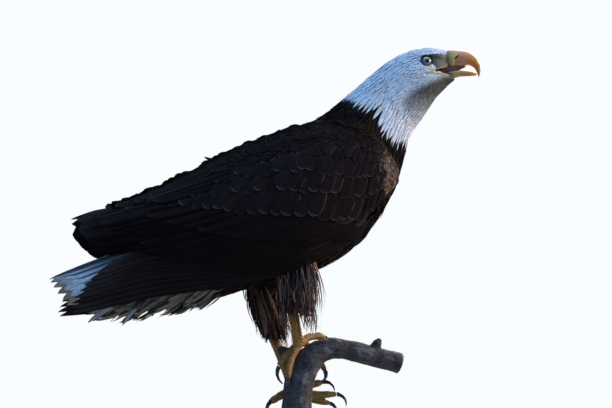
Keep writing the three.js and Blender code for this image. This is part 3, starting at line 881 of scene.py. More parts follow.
def barb_group():
    """Barbs, pale edge and shaft of a feather, from its vane map."""
    tree, source, result = new_group(
        "Feather barbs", [("Fineness", 60), ("Slant", 9), ("Edge", 0.8)], ["Barb", "Rim", "Shaft", "Height"])
    vane = node(tree, "ShaderNodeUVMap", uv_map="vane")
    split = node(tree, "ShaderNodeSeparateXYZ", i0=vane.outputs[0])
    middle = sums(tree, "SUBTRACT", split.outputs[0], 0.5)
    across = times(tree, sums(tree, "ABSOLUTE", middle), 2.0)
    rows = times(tree, split.outputs[1], source.outputs["Fineness"])
    slanted = sums(tree, "SUBTRACT", rows, times(tree, across, source.outputs["Slant"]))
    seed = times(tree, number(tree, "tint"), 83.0)
    place = node(tree, "ShaderNodeCombineXYZ", i0=slanted, i1=times(tree, middle, 3.0), i2=seed)
    barb = between(tree, noisy(tree, place.outputs[0], 1.0, 2.0, Roughness=0.6), 0.3, 0.7)
    side = between(tree, across, source.outputs["Edge"], 1.0)
    tip = between(tree, split.outputs[1], 0.86, 1.0)
    shaft = between(tree, across, 0.02, 0.12, 1.0, 0.0)
    feed(tree, result.inputs["Barb"], barb)
    feed(tree, result.inputs["Rim"], sums(tree, "MAXIMUM", side, tip))
    feed(tree, result.inputs["Shaft"], shaft)
    feed(tree, result.inputs["Height"], sums(tree, "ADD", barb, times(tree, shaft, 1.5)))
    return tree


def mottle_group():
    """Broad and fine unevenness over a piece, on its object coordinates."""
    tree, source, result = new_group("Mottle", [("Scale", 30), ("Stretch", 1)], ["Broad", "Fine"])
    size = node(tree, "ShaderNodeCombineXYZ", i0=1.0, i1=1.0, i2=source.outputs["Stretch"])
    scaled = node(tree, "ShaderNodeVectorMath", operation="MULTIPLY", i0=on_piece(tree), i1=size.outputs[0])
    scale = source.outputs["Scale"]
    for title, fineness in (("Broad", scale), ("Fine", times(tree, scale, 9.0))):
        grain = noisy(tree, scaled.outputs[0], fineness, 3.0)
        feed(tree, result.inputs[title], between(tree, grain, 0.3, 0.7))
    return tree


BARBS = barb_group()
MOTTLE = mottle_group()


def grouped(tree, group, **values):
    made = tree.nodes.new("ShaderNodeGroup")
    made.node_tree = group
    for name, value in values.items():
        made.inputs[name].default_value = value
    return made.outputs


def finish(name, roughness, **constants):
    """A new material and its tree, with the constants of its shader set."""
    made = bpy.data.materials.new(name)
    made.use_nodes = True
    shader = made.node_tree.nodes["Principled BSDF"]
    shader.inputs["Roughness"].default_value = roughness
    for key, value in constants.items():
        shader.inputs[key.replace("_", " ")].default_value = value
    return made, made.node_tree


def completed(made, body, height, strength, distance, rough=None):
    """Gives a material its colour, its relief and, where it varies, its roughness."""
    tree = made.node_tree
    inputs = tree.nodes["Principled BSDF"].inputs
    bump = node(tree, "ShaderNodeBump", Height=height, Strength=strength, Distance=distance)
    feed(tree, inputs["Base Color"], body)
    feed(tree, inputs["Normal"], bump.outputs[0])
    if rough:
        feed(tree, inputs["Roughness"], rough)
    return made


def plumage(name, deep, light, rim, rim_share, fineness=60, slant=9, edge=0.8, shaft=0.25,
            pale=(150, 128, 112), bump=0.35, gloss=0.05):
    """Feathers: two tones by barb and mottle, a rim, a shaft, pale by their marks (on the breast partly
    painted light), and painted throat shade by its mark.
    """
    made, tree = finish(name, 0.8, Specular_IOR_Level=gloss)
    barbs = grouped(tree, BARBS, Fineness=fineness, Slant=slant, Edge=edge)
    broad = grouped(tree, MOTTLE, Scale=24)["Broad"]
    tint = number(tree, "tint")
    tone = sums(tree, "ADD", times(tree, barbs["Barb"], 0.4), times(tree, broad, 0.25))
    tone = sums(tree, "ADD", tone, times(tree, tint, 0.35))
    streaks = between(tree, barbs["Barb"], 0.2, 0.8, 0.4, 1.0)
    edged = between(tree, tint, 0.1, 0.9, 0.35 * rim_share, 1.3 * rim_share)
    body = layered(
        tree, blended(tree, tone, deep, light),
        (times(tree, number(tree, "pale"), streaks), 1, pale), (times(tree, barbs["Rim"], edged), 1, rim),
        # Painted shade, olive and dark, over the white of the throat.
        (barbs["Shaft"], shaft, rim), ("dusk", 0.93, (86, 80, 60)))
    return completed(made, body, barbs["Height"], bump, 0.0004)


# ---- The coat ----------------------------------------------------------------------------------

def lie_of_coat(skin):
    """Which way the feathers lie at each corner of the skin."""
    points, part = skin.points, skin.part
    lie = -skin.way
    bill = on_head(40, 0, 4)
    share = ramp(skin.ahead, -55, 5)[:, None]
    face = unit(unit(points - bill) * np.array([1, 1, 0.75]) + np.array([0, 0, -0.05]))
    lie = np.where((part == "head")[:, None], lie * (1 - share) + face * share, lie)
    steep = np.interp(skin.along, [0, 0.1, 0.3, 0.5, 0.65, 0.8, 1], [70, 72, 70, 62, 46, 32, 14])
    level = np.interp(skin.along, [0, 0.1, 0.2, 0.34, 0.5, 0.7, 1], [58, 30, 8, 14, 21, 27, 22])
    over = ramp(skin.across, 0.5, 0.8)
    slope = np.radians(steep * (1 - over) + level * over)
    back = np.stack([-np.cos(slope), np.zeros(len(slope)), -np.sin(slope)], 1)
    lie = np.where((part == "wing")[:, None], back, lie)
    down = np.where(skin.local[:, 0:1] < -20, [[-0.32, 0, -1]], [[-0.1, 0, -1]])
    lie = np.where(np.isin(part, ("thigh", "shank"))[:, None], down, lie)
    lie = spread(lie, skin.ends, 14)
    lie -= skin.normals * (lie * skin.normals).sum(1, keepdims=True)
    return unit(lie)


def sizes_of_coat(skin):
    """Feather spacing, length, width and point, in millimetres, at each corner of the skin."""
    part, place, turn = skin.part, skin.place, skin.turn
    count = len(part)
    back = np.clip((26 - skin.ahead) / 76, 0, 1)
    table = np.zeros((count, 4))
    head = np.stack([1.9 + 3.6 * back, 4.5 + 24 * back**1.3, 2.6 + 4.6 * back, 0.35 + 0.4 * back], 1)
    steps = [0, 0.1, 0.3, 0.45, 0.52, 0.58, 0.64]
    body = np.stack([
        np.interp(place, steps, [9, 12, 15, 14, 11, 8.5, 7]),
        np.interp(place, steps, [60, 58, 50, 44, 40, 42, 46]),
        np.interp(place, steps, [14, 20, 25, 23, 17, 11.5, 9]),
        np.interp(place, steps, [0.5, 0.3, 0.15, 0.15, 0.4, 0.8, 0.9])], 1)
    under = ramp(turn, 90, 140)[:, None]
    body = body * (1 + under * [[-0.12, 0.05, -0.3, 0]]) + under * [[0, 0, 0, 0.35]]
    edge = np.clip(skin.across - covert_edge(skin.along), 0, 1.2)
    steps = [0, 0.07, 0.2, 0.4, 0.6, 0.8, 0.95]
    space = np.interp(skin.along, steps, [7, 8, 12, 15, 16, 15, 12]) * (1.06 - 0.5 * edge)
    wing = np.stack([space, space * 2.9, space * 1.75, np.full(count, 0.12)], 1)
    kinds = {"head": head, "neck": (5.4, 44, 8.4, 0.95), "trunk": body, "wing": wing,
             "thigh": (7.5, 44, 9.5, 0.8), "shank": (7.5, 30, 6, 0.9), "toe": (7.5, 10, 5, 0.9)}
    for kind, sizes in kinds.items():
        table = np.where((part == kind)[:, None], sizes, table)
    return spread(table, skin.ends, 5)


def shown(points, normals):
    """Which points aren't shut in by another part."""
    tree, _ = surface_tree([name for name in NODES if not name.startswith("stand")])
    free = []
    for point, normal in zip(points, normals):
        hit = tree.ray_cast(Vector(point + normal * 0.011), Vector(normal), 0.022)
        free.append(hit[0] is None)
    return np.array(free)


def sown(skin, table, allowed):
    """Evenly scattered feather roots on the allowed faces of the skin: faces and points."""
    sides = skin.points[skin.faces]
    area = np.linalg.norm(np.cross(sides[:, 1] - sides[:, 0], sides[:, 2] - sides[:, 0]), axis=1) / 2
    space = table[:, 0][skin.faces].mean(1) * MM
    weight = np.where(allowed, area / space**2, 0)
    tries_each, closest = 4, 0.8
    tries = int(weight.sum() * tries_each)
    face = CHANCE.choice(len(weight), tries, p=weight / weight.sum())
    a, b = np.sort(CHANCE.random((2, tries, 1)), axis=0)
    corner = sides[face]
    points = corner[:, 0] * a + corner[:, 1] * (b - a) + corner[:, 2] * (1 - b)
    tree = point_tree(points)
    room = np.ones(tries, bool)
    kept = []
    for row in range(tries):
        if room[row]:
            kept.append(row)
            for _, other, _ in tree.find_range(points[row], space[face[row]] * closest):
                room[other] = False
    return face[kept], points[kept]


def traced(skin, lie, roots, lengths, free):
    """Follows the lie of the coat over the skin from each root, as five points and their normals."""
    spines = np.empty((len(roots), 5, 3))
    rises = np.empty((len(roots), 5, 3))
    for row, root in enumerate(roots):
        at = root
        step = lengths[row] / 4
        way = None
        for knot in range(5):
            found, _, face, _ = skin.tree.find_nearest(at)
            cell = skin.faces[face]
            local_way = lie[cell].mean(0)
            if way is not None:
                at = np.array(found) * (1 - free[row]) + at * free[row]
                local_way = way * (0.35 + 0.6 * free[row]) + local_way * (0.65 - 0.6 * free[row])
            else:
                at = np.array(found)
            way = local_way / max(np.linalg.norm(local_way), 1e-9)
            spines[row, knot] = at
            rises[row, knot] = skin.normals[cell].mean(0)
            at = at + way * step
    return spines, unit(rises)


def fitted_bend(skin, spines, rises, width):
    """The radius, in millimetres, at which each feather bends round the skin below its middle."""
    ahead = unit(spines[:, 3] - spines[:, 1])
    beside = unit(np.cross(ahead, rises[:, 2]))
    radius = []
    for middle, side, up, half in zip(spines[:, 2], beside, rises[:, 2], width / 2 * MM):
        sag = 0.0
        for way in (-1, 1):
            near = np.array(skin.tree.find_nearest(middle + side * half * way)[0])
            sag += (middle - near) @ up / 2
        radius.append(half**2 / (2 * max(sag, half**2 / 0.3)))
    return np.maximum(np.array(radius) / MM, width * 0.36)


def make_coat(skin, lie, finishes):
    """Every small feather, sorted into pieces by where it grows."""
    table = sizes_of_coat(skin)
    bare = np.isin(skin.part, ("toe", "shank"))
    face_skin = (np.maximum(skin.lore, skin.dark) > 0.55) | (skin.mouth > 0.2) | (skin.gape > 0.5)
    bare |= (skin.part == "head") & face_skin
    low = skin.across < 0.66 + 0.2 * ramp(skin.along, 0.8, 0.95)
    covered = (skin.part == "wing") & low & (skin.along > 0.12)
    allowed = ~(bare | covered)[skin.faces].any(1)
    rows = np.flatnonzero(allowed)
    cell = skin.faces[rows]
    allowed[rows] &= shown(skin.points[cell].mean(1), unit(skin.normals[cell].mean(1)))
    face, roots = sown(skin, table, allowed)
    cell = skin.faces[face]
    size = table[cell].mean(1)
    part = skin.part[cell[:, 0]]
    head, neck, trunk, wing, thigh = (part == kind for kind in ("head", "neck", "trunk", "wing", "thigh"))
    place = skin.place[cell].mean(1)
    turn = skin.turn[cell].mean(1)
    local = skin.local[cell].mean(1)
    x, y, z = skin.local[cell[:, 0]].T
    chance = CHANCE.random((4, len(roots)))
    tint = chance[3]

    # How long each is, how free it hangs, how deep its root lies and how high its tip stands.
    length = size[:, 1] * (0.85 + 0.3 * chance[0])
    above = z - np.where(y < 0, 70, 28)
    length = length * (1 - 0.6 * ramp(-above, -36, 0) * thigh)
    free = np.where(thigh, 0.25 + 0.6 * ramp(-local[:, 2], -130, 10), 0.0)
    free = np.where(trunk & (place < 0.3) & (turn > 90), 0.55, free)
    spines, rises = traced(skin, lie, roots, length * MM, free)
    white = white_at(spines[:, 4]) > (chance[1] - 0.5) * 0.02
    # Undertail coverts: pale feathers whose finish paints shade into them.
    undertail_in_shade = trunk & (place < np.where(turn > 62, 0.27, 0.2))
    depth = np.interp(length, [4, 25, 50], [0.45, 1.5, 3.2])
    depth = np.where(wing, 1.5, np.where(thigh, 5.0, depth))
    depth = np.where(trunk & (turn < 70), 1.6, depth)
    depth = np.where(wing & (skin.along[cell[:, 0]] > 0.55), 0.7, depth)
    rooted = np.where(wing | trunk, depth * 0.35, -0.2)
    rooted = np.where(head | white, depth * 0.3, rooted)
    depth = np.where(head | white, depth * 0.8, depth)
    stand = np.where(chance[2] > 0.95, 1.5, 1.0)
    bend = fitted_bend(skin, spines, rises, size[:, 2])

    # Pale feathers are scattered over the front of the breast, standing in partly for painted light on its
    # front edge, and down the front of the thighs.
    pale = ramp(x, 100, 138) * ramp(turn, 84, 106) * ramp(-turn, -158, -134)
    pale *= ramp(z, 222, 262) * ramp(-z, -344, -316) * ~thigh
    pale *= 0.4 + 0.75 * (chance[1] > 0.75 - 0.5 * pale)
    front = ramp(x, -30, 12) * thigh * ramp(-z, -125, -90)
    pale = np.maximum(pale, front) * (0.3 + 0.7 * tint)

    face = head & (head_place(roots)[0] > -22)
    groups = {
        "face_plumage": face,
        "head_plumage": (head & ~face) | (neck & white) | (trunk & white & ~undertail_in_shade),
        "neck_plumage": (neck | (trunk & (place > 0.5))) & ~white,
        "body_plumage": trunk & (place <= 0.5) & ~white & ~undertail_in_shade,
        "undertail_coverts": undertail_in_shade,
        "wing_coverts_left": wing & (local[:, 1] > 0),
        "wing_coverts_right": wing & (local[:, 1] < 0),
        "thigh_plumage_left": thigh & (local[:, 1] > 0),
        "thigh_plumage_right": thigh & (local[:, 1] < 0),
    }
    for name, chosen in groups.items():
        rows = np.flatnonzero(chosen)
        small = name in ("face_plumage", "head_plumage")
        laid = vanes(
            SMALL if small else MIDDLE, spines[rows], rises[rows], size[rows, 2] * (0.85 + 0.3 * tint[rows]),
            point=size[rows, 3], thick=np.where(size[rows, 1] < 20, 0.2, 0.45),
            lift=(rooted[rows], depth[rows] * stand[rows]), camber=bend[rows],
            roll=(tint[rows] - 0.5) * (0.08 if small else 0.2), skew=(chance[0][rows] - 0.5) * 0.3)
        # Small feathers carry the painted shade of the throat.
        marks = {"tint": tint[rows], "pale": pale[rows], "dusk": dusk_at(spines[rows, 2]) if small else 0.0}
        feather_piece(name, [(laid, spines[rows], marks)], skin, finishes[name])


def hung(skin, rows, way, lengths, floor, drift):
    """Spines that leave the skin's faces and hang free: five points and the way they face."""
    roots = skin.points[skin.faces[rows]].mean(1)
    out = unit(skin.normals[skin.faces[rows]].mean(1))
    t = np.linspace(0, 1, 5)[None, :, None]
    way = unit(way + CHANCE.normal(0, drift, (len(rows), 3)) * [1, 0.6, 0.2])
    room = (roots[:, 2] - floor) / np.maximum(-way[:, 2], 0.2)
    length = np.clip(lengths * MM, 0.008, np.maximum(room, 0.008))[:, None, None]
    bow = CHANCE.normal(0, 0.08, (len(rows), 1, 3)) * length
    spine = roots[:, None] + way[:, None] * length * t + out[:, None] * (0.5 + 4.5 * t**0.6) * MM
    spine = spine + bow * np.sin(t * math.pi)
    return spine, np.repeat(out[:, None], 5, axis=1)


def make_strands(skin, finishes):
    """Long loose ribbons that hang from each thigh over the shank."""
    middle = skin.local[skin.faces].mean(1)
    thigh = skin.part[skin.faces[:, 0]] == "thigh"
    for word, low, floor in (("left", 26, -8), ("right", 70, 4)):
        allowed = thigh & (middle[:, 1] * SIDES[word] > 0) & (middle[:, 2] < 150) & (middle[:, 2] > low)
        rows = CHANCE.choice(np.flatnonzero(allowed), 460)
        count = len(rows)
        x = middle[rows, 0]
        lean = np.interp(x, [-90, -30, 30], [0.5, 0.12, 0.0])
        if word == "right":
            gap = 50 * np.exp(-(((x + lean * 50 + 15) / 16) ** 2))
        else:
            gap = np.interp(x, [-75, -30], [28, 0])
        ends = ORIGIN[2] + (floor + gap + 34 * CHANCE.random(count) ** 1.6) * MM
        way = np.stack([lean, np.zeros(count), -np.ones(count)], 1)
        spine, rise = hung(skin, rows, way, CHANCE.uniform(44, 96, count), ends, 0.1)
        tint = CHANCE.random(count)
        laid = vanes(STRAND, spine, rise, CHANCE.uniform(1.8, 3.9, count), point=0.95, thick=0.3,
                     lift=(0, 0.6), camber=9, bulge=0.0, roll=(tint - 0.5) * 1.2, base=0.7)
        pale = (CHANCE.random(count) > 0.55 - 0.4 * ramp(x, -30, 5)) * CHANCE.uniform(0.45, 1.0, count)
        batch = (laid, spine, {"tint": tint, "pale": pale})
        feather_piece(f"thigh_strands_{word}", [batch], skin, finishes[f"thigh_plumage_{word}"])


def make_undertail(skin, finishes):
    """Loose pale coverts, with painted shade in dark olive, that hang below the root of the tail."""
    place = skin.place[skin.faces].mean(1)
    turn = skin.turn[skin.faces].mean(1)
    allowed = (skin.part[skin.faces[:, 0]] == "trunk") & (place < 0.24) & (turn > 84)
    rows = CHANCE.choice(np.flatnonzero(allowed), 260)
    count = len(rows)
    back = 1 - place[rows] / 0.24
    way = np.stack([-0.8 - 0.4 * back, np.zeros(count), -0.5 + 0.05 * back], 1)
    x = (skin.points[skin.faces[rows, 0], 0] - ORIGIN[0]) / MM
    floor = np.interp(x - 26, [-350, -263, -215, -155, -90], [42, 45, 52, 64, 78]) - 6 * CHANCE.random(count)
    spine, rise = hung(skin, rows, way, CHANCE.uniform(30, 50, count), ORIGIN[2] + floor * MM, 0.1)
    tint = CHANCE.random(count)
    laid = vanes(MIDDLE, spine, rise, CHANCE.uniform(8, 13, count), point=0.55, thick=0.4, lift=(0, 1.0),
                 camber=18, bulge=0.05, roll=(tint - 0.5) * 0.7, base=0.6)
    feather_piece("undertail_fringe", [(laid, spine, {"tint": tint})], skin, finishes["undertail_coverts"])


# Single feathers that stand out of the coat: finish, width, then places from root to tip.
LOOSE = [
    ("tail", 9, (-310, -44, 66), (-322, -45, 58), (-335, -46, 49), (-348, -47, 40), (-359, -48, 31)),
    ("tail", 6, (-279, -44, 56), (-286, -45, 49), (-292, -46, 42), (-298, -47, 34), (-303, -47, 27)),
    ("flight", 9, (-118, -14, 290), (-132, -15, 297), (-145, -15, 301), (-155, -16, 303), (-165, -16, 307)),
    ("flight", 7, (-100, -12, 300), (-113, -13, 304), (-125, -14, 305), (-136, -14, 305), (-146, -15, 307)),
    ("flight", 8, (-318, 18, 221), (-334, 19, 217), (-350, 20, 212), (-365, 20, 207), (-379, 21, 203)),
]


def make_loose(skin, finishes):
    """The few single feathers that stand out of the coat."""
    for row, (kind, width, *places) in enumerate(LOOSE):
        spine = np.array([[here(*place) for place in places]])
        ahead = unit(np.gradient(spine, axis=1))
        rise = unit(np.cross(ahead, [[[0.15, 0.25, 1.0]]]))
        rise *= np.sign(rise[..., 2:3] - rise[..., 1:2])
        laid = vanes(BROAD, spine, rise, width, point=0.35, thick=0.5, lift=(0, 0), camber=14, base=0.5)
        feather_piece(f"loose_feather_{row + 1}", [(laid, spine, {"tint": 0.5})], skin, finishes[kind])


# ---- The big feathers --------------------------------------------------------------------------

def quills(skin, side, tips, slopes, lengths, heights, knots=9, buried=0.3, free_tips=False):
    """Spines of big feathers on a folded wing, from root to tip. Tips are x and z in millimetres,
    slopes the degrees they fall toward the tip, heights how far they lie off the skin. The
    buried share of each, from the root, lies deeper, most of all by the shoulder."""
    tips = np.asarray(tips, float)
    t = np.linspace(0, 1, knots)[None]
    slope = np.radians(column(slopes, len(tips)) + 6 * (0.5 - t))
    step = lengths[:, None] / (knots - 1)
    dx = np.cos(slope) * step
    dz = np.sin(slope) * step
    x = tips[:, 0:1] + dx.sum(1, keepdims=True) - np.cumsum(dx, 1)
    z = tips[:, 1:2] + dz.sum(1, keepdims=True) - np.cumsum(dz, 1)
    table = np.array(WING_LINE, float)
    along = np.interp(-x, -table[:, 1], table[:, 0])
    mid = curve(WING_LINE, along)
    across = np.clip(2 * (z - mid[..., 4]) / np.maximum(mid[..., 2] - mid[..., 4], 8) - 1, -0.97, 0.97)
    at, out = wing_face(side, along, across)
    spine = np.stack([ORIGIN[0] + x * MM, at[..., 1], ORIGIN[2] + z * MM], -1)
    sink = np.interp(tips[:, 0] + lengths, [-60, 40, 92], [1.5, 2, 4])[:, None]
    height = heights[:, None] - sink * (1 - ramp(t, 0.0, buried))
    lift = np.empty(height.shape)
    for row in range(len(spine)):
        for knot in range(knots):
            at, _, face, far = skin.tree.find_nearest(spine[row, knot])
            normal = unit(skin.normals[skin.faces[face]].mean(0))
            above = (spine[row, knot] - np.array(at)) @ normal / MM
            near = ramp(normal @ out[row, knot], 0.2, 0.6) * ramp(-far / MM, -18, -9)
            lift[row, knot] = np.clip(height[row, knot] - above, -14, 9) * near
    for _ in range(2):
        lift[:, 1:-1] = (lift[:, :-2] + 2 * lift[:, 1:-1] + lift[:, 2:]) / 4
    if free_tips:
        lift[:, -3:] = lift[:, -4:-3]
    spine += out * lift[..., None] * MM
    return spine, out


def shafted(name, spines, rises, width, rib, tint, skin, look, **shape):
    """A piece of big vanes and, on each, its raised shaft."""
    laid = vanes(LARGE, spines, rises, width, **shape)
    ribs = vanes(RIB, spines, rises, rib, point=0.5, thick=2.2, lift=(0.6, 0.5), camber=900,
                 bulge=0.0, base=1.0)
    return feather_piece(name, [(mesh, spines, {"tint": tint}) for mesh in (laid, ribs)], skin, look)


def covert_rows(side, word, skin, lie, finishes):
    """Rows of coverts over the folded wing, from the wide lowest row up to the small ones."""
    shares = [0.07, 0.28, 0.45, 0.585, 0.69, 0.78, 0.855, 0.92]
    widths = [29, 24.5, 20.5, 17, 14.5, 12.5, 11, 10]
    lifts = [2.7, 2.1, 1.8, 1.1, 1.0, 0.9, 0.8, 0.8]
    wing_long, wing_tall = 540, 198
    rows = []
    for number, (share, width) in enumerate(zip(shares, widths)):
        gap = (shares[number + 1] - share if number < 7 else 0.05) * wing_tall
        along = []
        place = 0.1 + 0.02 * (number % 2)
        while place < 0.93:
            scale = np.interp(place, [0.1, 0.3, 0.6, 0.93], [0.62, 1.0, 0.92, 0.7])
            along.append((place, scale))
            place += width * 0.72 * scale * CHANCE.uniform(0.8, 1.2) / wing_long
        along, scale = np.array(along).T
        chance = CHANCE.random((4, len(along)))
        table = curve(WING_LINE, along)
        tall = table[:, 2] - table[:, 4]
        edge = covert_edge(along)
        tip = edge + (share + 0.045 * (chance[2] - 0.5)) * (1 - edge)
        length = np.clip((gap if number else 46) * (1 - edge) / 1.6 * 1.75, 18, 62)
        length = length * scale * (0.93 + 0.14 * chance[0])
        slope = np.radians(np.interp(along, [0.1, 0.3, 0.5, 0.65, 0.8, 0.95], [72, 70, 62, 46, 32, 18]))
        root_along = np.clip(along - length * np.cos(slope) / wing_long, 0.0, 1)
        root = np.clip(tip + 2 * length * np.sin(slope) / tall, -1, 0.97)
        at, _ = wing_face(side, root_along, root)
        rows.append((at, length, width * scale * (0.95 + 0.1 * chance[1]), chance))
    for title, numbers, look in (("median_coverts", range(3), "median"),
                                 ("lesser_coverts", range(3, 8), f"wing_coverts_{word}")):
        batches = []
        for number in numbers:
            at, length, width, chance = rows[number]
            spine, rise = traced(skin, lie, at, length * MM, np.zeros(len(at)))
            laid = vanes(BROAD if number < 3 else MIDDLE, spine, rise, width, thick=0.4,
                         lift=(0.3 if number else 0.7, lifts[number] + 0.5 * chance[2]),
                         camber=fitted_bend(skin, spine, rise, width), bulge=0.04,
                         roll=(chance[3] - 0.5) * 0.12, skew=(chance[1] - 0.5) * 0.3)
            batches.append((laid, spine, {"tint": chance[2]}))
        feather_piece(f"{title}_{word}", batches, skin, finishes[look])


def make_wing(side, word, skin, lie, finishes):
    """Secondaries, greater coverts, tertials and primaries of one folded wing."""
    covert_rows(side, word, skin, lie, finishes)
    look = finishes["flight"]
    table = np.array(WING_LINE, float)
    order = np.linspace(0, 1, 15)
    chance = CHANCE.random((4, 40))
    x = np.interp(order, [0, 0.7, 1], [-58, -250, -352])
    low = np.interp(-x, -table[:, 1], table[:, 5])
    tips = np.stack([x, low + 5 + 3 * chance[0, :15]], 1)
    tips[-3:] = [(-352, 156), (-364, 168), (-373, 180)]
    slope = np.interp(order, [0, 0.5, 1], [22, 18, 11])
    length = np.minimum(np.interp(order, [0, 0.6, 1], [150, 205, 230]), 76 - tips[:, 0])
    spine, rise = quills(skin, side, tips, slope, length, np.linspace(-0.4, 0.6, 15), free_tips=True)
    shafted(f"secondaries_{word}", spine, rise, 40 + 4 * chance[1, :15], 2.4, chance[2, :15], skin, look,
            thick=0.8, lift=(-0.6, 0.2), camber=150, bulge=0.02, skew=0.25, base=0.75)

    order = np.linspace(0, 1, 14)
    along = np.interp(order, [0, 1], [0.235, 0.84])
    rows = curve(WING_LINE, along)
    z = rows[:, 4] + (covert_edge(along) + 1) / 2 * (rows[:, 2] - rows[:, 4])
    tips = np.stack([rows[:, 0], z], 1)
    slope = np.interp(order, [0, 1], [30, 15])
    length = np.minimum(138, (98 - tips[:, 0]) * 0.95)
    spine, rise = quills(skin, side, tips, slope, length, np.linspace(0.9, 1.6, 14), buried=0.75)
    shafted(f"greater_coverts_{word}", spine, rise, 40 + 5 * chance[1, :14], 1.8, chance[3, :14], skin, look,
            thick=0.7, lift=(-0.3, 0.3), camber=150, bulge=0.04, skew=0.1, base=0.8)

    tips = [(-302, 186), (-338, 188), (-366, 190), (-350, 198), (-300, 212), (-376, 196), (-262, 226)]
    slope = [15, 14, 12, 14, 17, 16, 20]
    length = np.array([150, 170, 190, 165, 150, 150, 140])
    spine, rise = quills(skin, side, tips, slope, length, np.linspace(1.6, 3.4, 7))
    shafted(f"tertials_{word}", spine, rise, 44 + 6 * chance[0, 20:27], 2.2, chance[2, 20:27], skin, look,
            thick=1.0, lift=(-2, 0.8), camber=70, bulge=0.08, skew=0.1, base=0.65)

    share = np.linspace(0, 1, 8)
    reach = np.array([0.985, 0.99, 0.985, 0.98, 0.965, 0.955, 0.94, 0.92])
    across = np.linspace(-0.86, 0.66, 8)
    t = np.linspace(0.02, 1, 11)
    along = t[None] * reach[:, None]
    fan = across[:, None] * (1 - np.where(across > 0, 0.22, 0.04)[:, None] * t[None])
    at, out = wing_face(side, along, fan, PRIMARY_LINE)
    spine = at + out * (-2.5 + 3.0 * share)[:, None, None] * MM
    width = np.interp(share, [0, 1], [21, 26])
    piece = shafted(
        f"primary_feathers_{word}", spine, out, width, 2.6, chance[3, 20:28], skin, look,
        thick=1.1, lift=(-0.6, 0.3), camber=120, bulge=0.05, skew=-0.3, base=0.8, point=0.18)
    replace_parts(piece, f"primaries_{word}")


def make_tail(skin, finishes):
    """Twelve tail feathers, the middle pair on top."""
    across = np.array([-0.98, -0.84, -0.66, -0.46, -0.26, -0.07, 0.07, 0.26, 0.46, 0.66, 0.84, 0.98])
    far = np.abs(across)[:, None]
    t = np.linspace(0, 1, 11)[None]
    reach = t * (TAIL_LENGTH * (1 - 0.045 * far**2)) * 0.995
    pitch = np.radians(TAIL_PITCH + TAIL_DROOP * far**1.6)
    fan = np.radians(TAIL_FAN) * across[:, None]
    x = TAIL_ROOT[0] + 8 * far - np.cos(pitch) * reach * np.cos(fan)
    y = 22 * across[:, None] + np.cos(pitch) * reach * np.sin(fan)
    z = TAIL_ROOT[2] - 8 * far**2 - np.sin(pitch) * reach - 4.0 + 3.0 * (1 - far)
    spine = ORIGIN + np.stack([x, y, z], -1) * MM
    ahead = unit(np.gradient(spine, axis=1))
    beside = unit(np.gradient(spine, axis=0))
    rise = unit(np.cross(beside, ahead))
    rise *= np.sign(rise[..., 2:3])
    piece = shafted(
        "tail_feathers", spine, rise, 44, 2.6, CHANCE.random(12), skin, finishes["tail"],
        thick=1.2, lift=(0, 0), camber=150, bulge=0.09, skew=-0.25 * np.sign(across), base=0.55)
    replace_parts(piece, "tail")


# ---- Bill, mouth and eyes ----------------------------------------------------------------------

def smoothed(name, title, size, rounds, look):
    """A finer, rounder piece in place of a CAD node."""
    piece = finished(remeshed(merged([name], title), size, rounds), look)
    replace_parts(piece, name)
    return piece


def make_bill(finishes):
    """The two halves of the bill, with cere, nostrils and sharp edges, and the tongue."""
    for name, root_off in (("bill_upper", 1.5), ("bill_lower", 3)):
        piece = remeshed(merged([name], f"{name}_horn"), 0.0007, 10)
        mesh = piece.data
        bm = bmesh.new()
        bm.from_mesh(mesh)
        parts = [*bm.verts, *bm.edges, *bm.faces]
        root = on_head(BILL_ROOT - root_off, 0, 0)
        bmesh.ops.bisect_plane(bm, geom=parts, plane_co=root, plane_no=HEAD_AHEAD, clear_inner=True)
        fill_holes(bm)
        bm.to_mesh(mesh)
        bm.free()
        points = corners(mesh)
        ahead, out, up = head_place(points)
        points -= facing(mesh) * (ramp(-ahead, -44, -39.5) * 0.5 * MM)[:, None]
        cheek = ramp(-ahead, -54, -41) * ramp(up, 4, 10) * ramp(-up, -26, -16) * np.sign(out)
        points += HEAD_LEFT * (cheek * 0.4 * MM)[:, None]
        if name == "bill_upper":
            low = ramp(-up, -15, -7) * ramp(ahead, 40, 50) * ramp(-ahead, -76, -66) * ramp(up, 2, 5)
            points -= UP * (low * 3.0 * MM)[:, None]
            slit_turn = 0.75
            along, over = ahead - 55, up - 19.7
            slit_ahead = along * math.cos(slit_turn) + over * math.sin(slit_turn)
            slit_up = over * math.cos(slit_turn) - along * math.sin(slit_turn)
            hole = np.exp(-((slit_ahead / 4.4) ** 2 + (slit_up / 1.5) ** 2) ** 1.5)
            points -= (HEAD_LEFT * np.sign(out)[:, None]) * (hole * 3.2 * MM)[:, None]
            past = ahead - np.interp(up, [0, 14, 20, 26, 31], [52, 52.2, 56, 59.5, 60])
            step = 0.5 * ramp(-past, 0, 3) - 0.3 * np.exp(-((past / 0.9) ** 2))
            points += facing(mesh) * (step * MM)[:, None]
            rim = np.interp(ahead, [30, 48, 64, 80, 93], [1, 6, 6, 1, -10])
            mark(mesh, cere=ramp(-past, -3.2, 2.4) * (1 - 0.5 * ramp(up, 20, 28)), nostril=hole,
                 root=ramp(-ahead, -52, -35), tip=ramp(ahead, 62, 92), edge=ramp(rim - up, -2.5, 1))
        else:
            points -= UP * (ramp(-ahead, -66, -50) * ramp(-up, 9, 14) * 3.2 * MM)[:, None]
            mark(mesh, cere=ramp(-ahead, -66, -46), nostril=np.zeros(len(points)),
                 root=ramp(-ahead, -60, -38), tip=ramp(ahead, 48, 80), edge=ramp(up, -4.5, -2))
        moved(mesh, points)
        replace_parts(finished(piece, finishes["bill"]), name)
    smoothed("tongue", "tongue_flesh", 0.0006, 6, finishes["mouth"])


